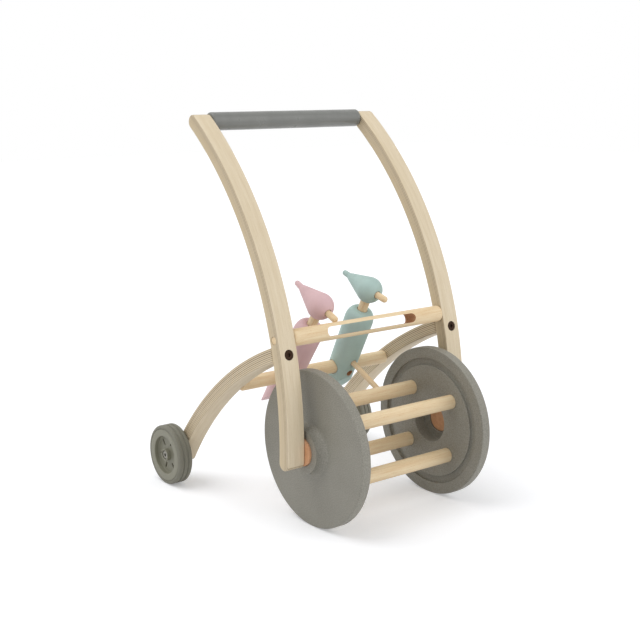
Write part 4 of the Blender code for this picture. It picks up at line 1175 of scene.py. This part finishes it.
class WALKER_OT_stage(bpy.types.Operator):
    """Build the pale floor, the soft light and the camera"""

    bl_idname = "walker.stage"
    bl_label = "Floor, light and camera"

    def execute(self, context):
        stage, = sizes("stage")
        context.scene.view_settings.view_transform = "Standard"
        self.floor(stage)
        self.sky(context, stage)
        self.lamp("key_light", stage.key, stage.spread, stage.key_from)
        self.lamp("front_light", stage.front, stage.spread, stage.front_from)
        camera = bpy.data.cameras.new("photo_camera")
        camera.lens = stage.lens
        camera.sensor_width = 36.0
        holder = bpy.data.objects.new("photo_camera", camera)
        context.collection.objects.link(holder)
        holder.location = Vector((0.0, *DRUM_AXLE.yz)) + Vector(stage.eye)
        holder.rotation_euler = (stage.pitch, 0.0, stage.heading)
        context.scene.camera = holder
        return {"FINISHED"}

    def seen(self, tree):
        """One for rays from the camera, and for mirrored and refracted ones."""
        path = add(tree, "LightPath")
        most = add(tree, "Math", {0: path.outputs["Is Camera Ray"], 1: path.outputs["Is Glossy Ray"]},
                   operation="MAXIMUM")
        return add(tree, "Math", {0: most, 1: path.outputs["Is Transmission Ray"]}, operation="MAXIMUM")

    def floor(self, stage):
        """Flat grid of points at height zero: white paper that glows a little where it is seen."""
        side = np.linspace(-stage.floor_size, stage.floor_size, 9)
        x, y = np.meshgrid(side, side, indexing="ij")
        mesh = skin("studio_floor", np.stack([x, y, np.zeros_like(x)], -1))
        made = bpy.data.materials.new("matt_white_paper")
        made.use_nodes = True
        tree = made.node_tree
        shader = tree.nodes["Principled BSDF"]
        shader.inputs["Base Color"].default_value = rgba(stage.paper)
        shader.inputs["Roughness"].default_value = 1.0
        shader.inputs["Specular IOR Level"].default_value = 0.0
        glow = add(tree, "Math", {0: self.seen(tree), 1: stage.glow}, operation="MULTIPLY")
        shader.inputs["Emission Color"].default_value = (1.0, 1.0, 1.0, 1.0)
        tree.links.new(glow.outputs[0], shader.inputs["Emission Strength"])
        mesh.materials.append(made)
        floor = bpy.data.objects.new("studio_floor", mesh)
        bpy.context.collection.objects.link(floor)

    def sky(self, context, stage):
        """White all round: full strength where it is seen, softer as light."""
        world = bpy.data.worlds.new("white_room")
        world.use_nodes = True
        context.scene.world = world
        tree = world.node_tree
        background = tree.nodes["Background"]
        background.inputs["Color"].default_value = (1.0, 1.0, 1.0, 1.0)
        strength = add(tree, "MapRange", {0: self.seen(tree), 1: 0.0, 2: 1.0, 3: stage.sky, 4: 1.0})
        tree.links.new(strength.outputs[0], background.inputs["Strength"])

    def lamp(self, name, strength, spread, place):
        """Broad even light that falls from the direction of a place, with soft shadows."""
        light = bpy.data.lights.new(name, "SUN")
        light.energy = strength
        light.angle = spread
        holder = bpy.data.objects.new(name, light)
        bpy.context.collection.objects.link(holder)
        holder.location = place
        holder.rotation_euler = (-Vector(place)).to_track_quat("-Z", "Y").to_euler()


OPERATORS = (WALKER_OT_bent_strips, WALKER_OT_cross_bars, WALKER_OT_axle_stubs, WALKER_OT_fasteners,
             WALKER_OT_drum, WALKER_OT_rear_wheels, WALKER_OT_birds, WALKER_OT_stage)


class WALKER_PT_build(bpy.types.Panel):
    """Lists the walker's pieces"""

    bl_idname = "WALKER_PT_build"
    bl_label = "Push walker"
    bl_space_type = "VIEW_3D"
    bl_region_type = "UI"
    bl_category = "Walker"

    def draw(self, context):
        for operator in OPERATORS:
            self.layout.operator(operator.bl_idname)


def register():
    for name, group in groups().items():
        bpy.utils.register_class(group)
        setattr(bpy.types.Scene, name, PointerProperty(type=group))
    for part in (*OPERATORS, WALKER_PT_build):
        bpy.utils.register_class(part)


def unregister():
    for part in (WALKER_PT_build, *reversed(OPERATORS)):
        bpy.utils.unregister_class(part)
    for name, group in groups().items():
        delattr(bpy.types.Scene, name)
        bpy.utils.unregister_class(group)


def main():
    """Build every piece and the stage."""
    register()
    bpy.ops.walker.bent_strips()
    bpy.ops.walker.cross_bars()
    bpy.ops.walker.axle_stubs()
    bpy.ops.walker.fasteners()
    bpy.ops.walker.drum()
    bpy.ops.walker.rear_wheels()
    bpy.ops.walker.birds()
    bpy.ops.walker.stage()


if __name__ == "__main__":
    main()
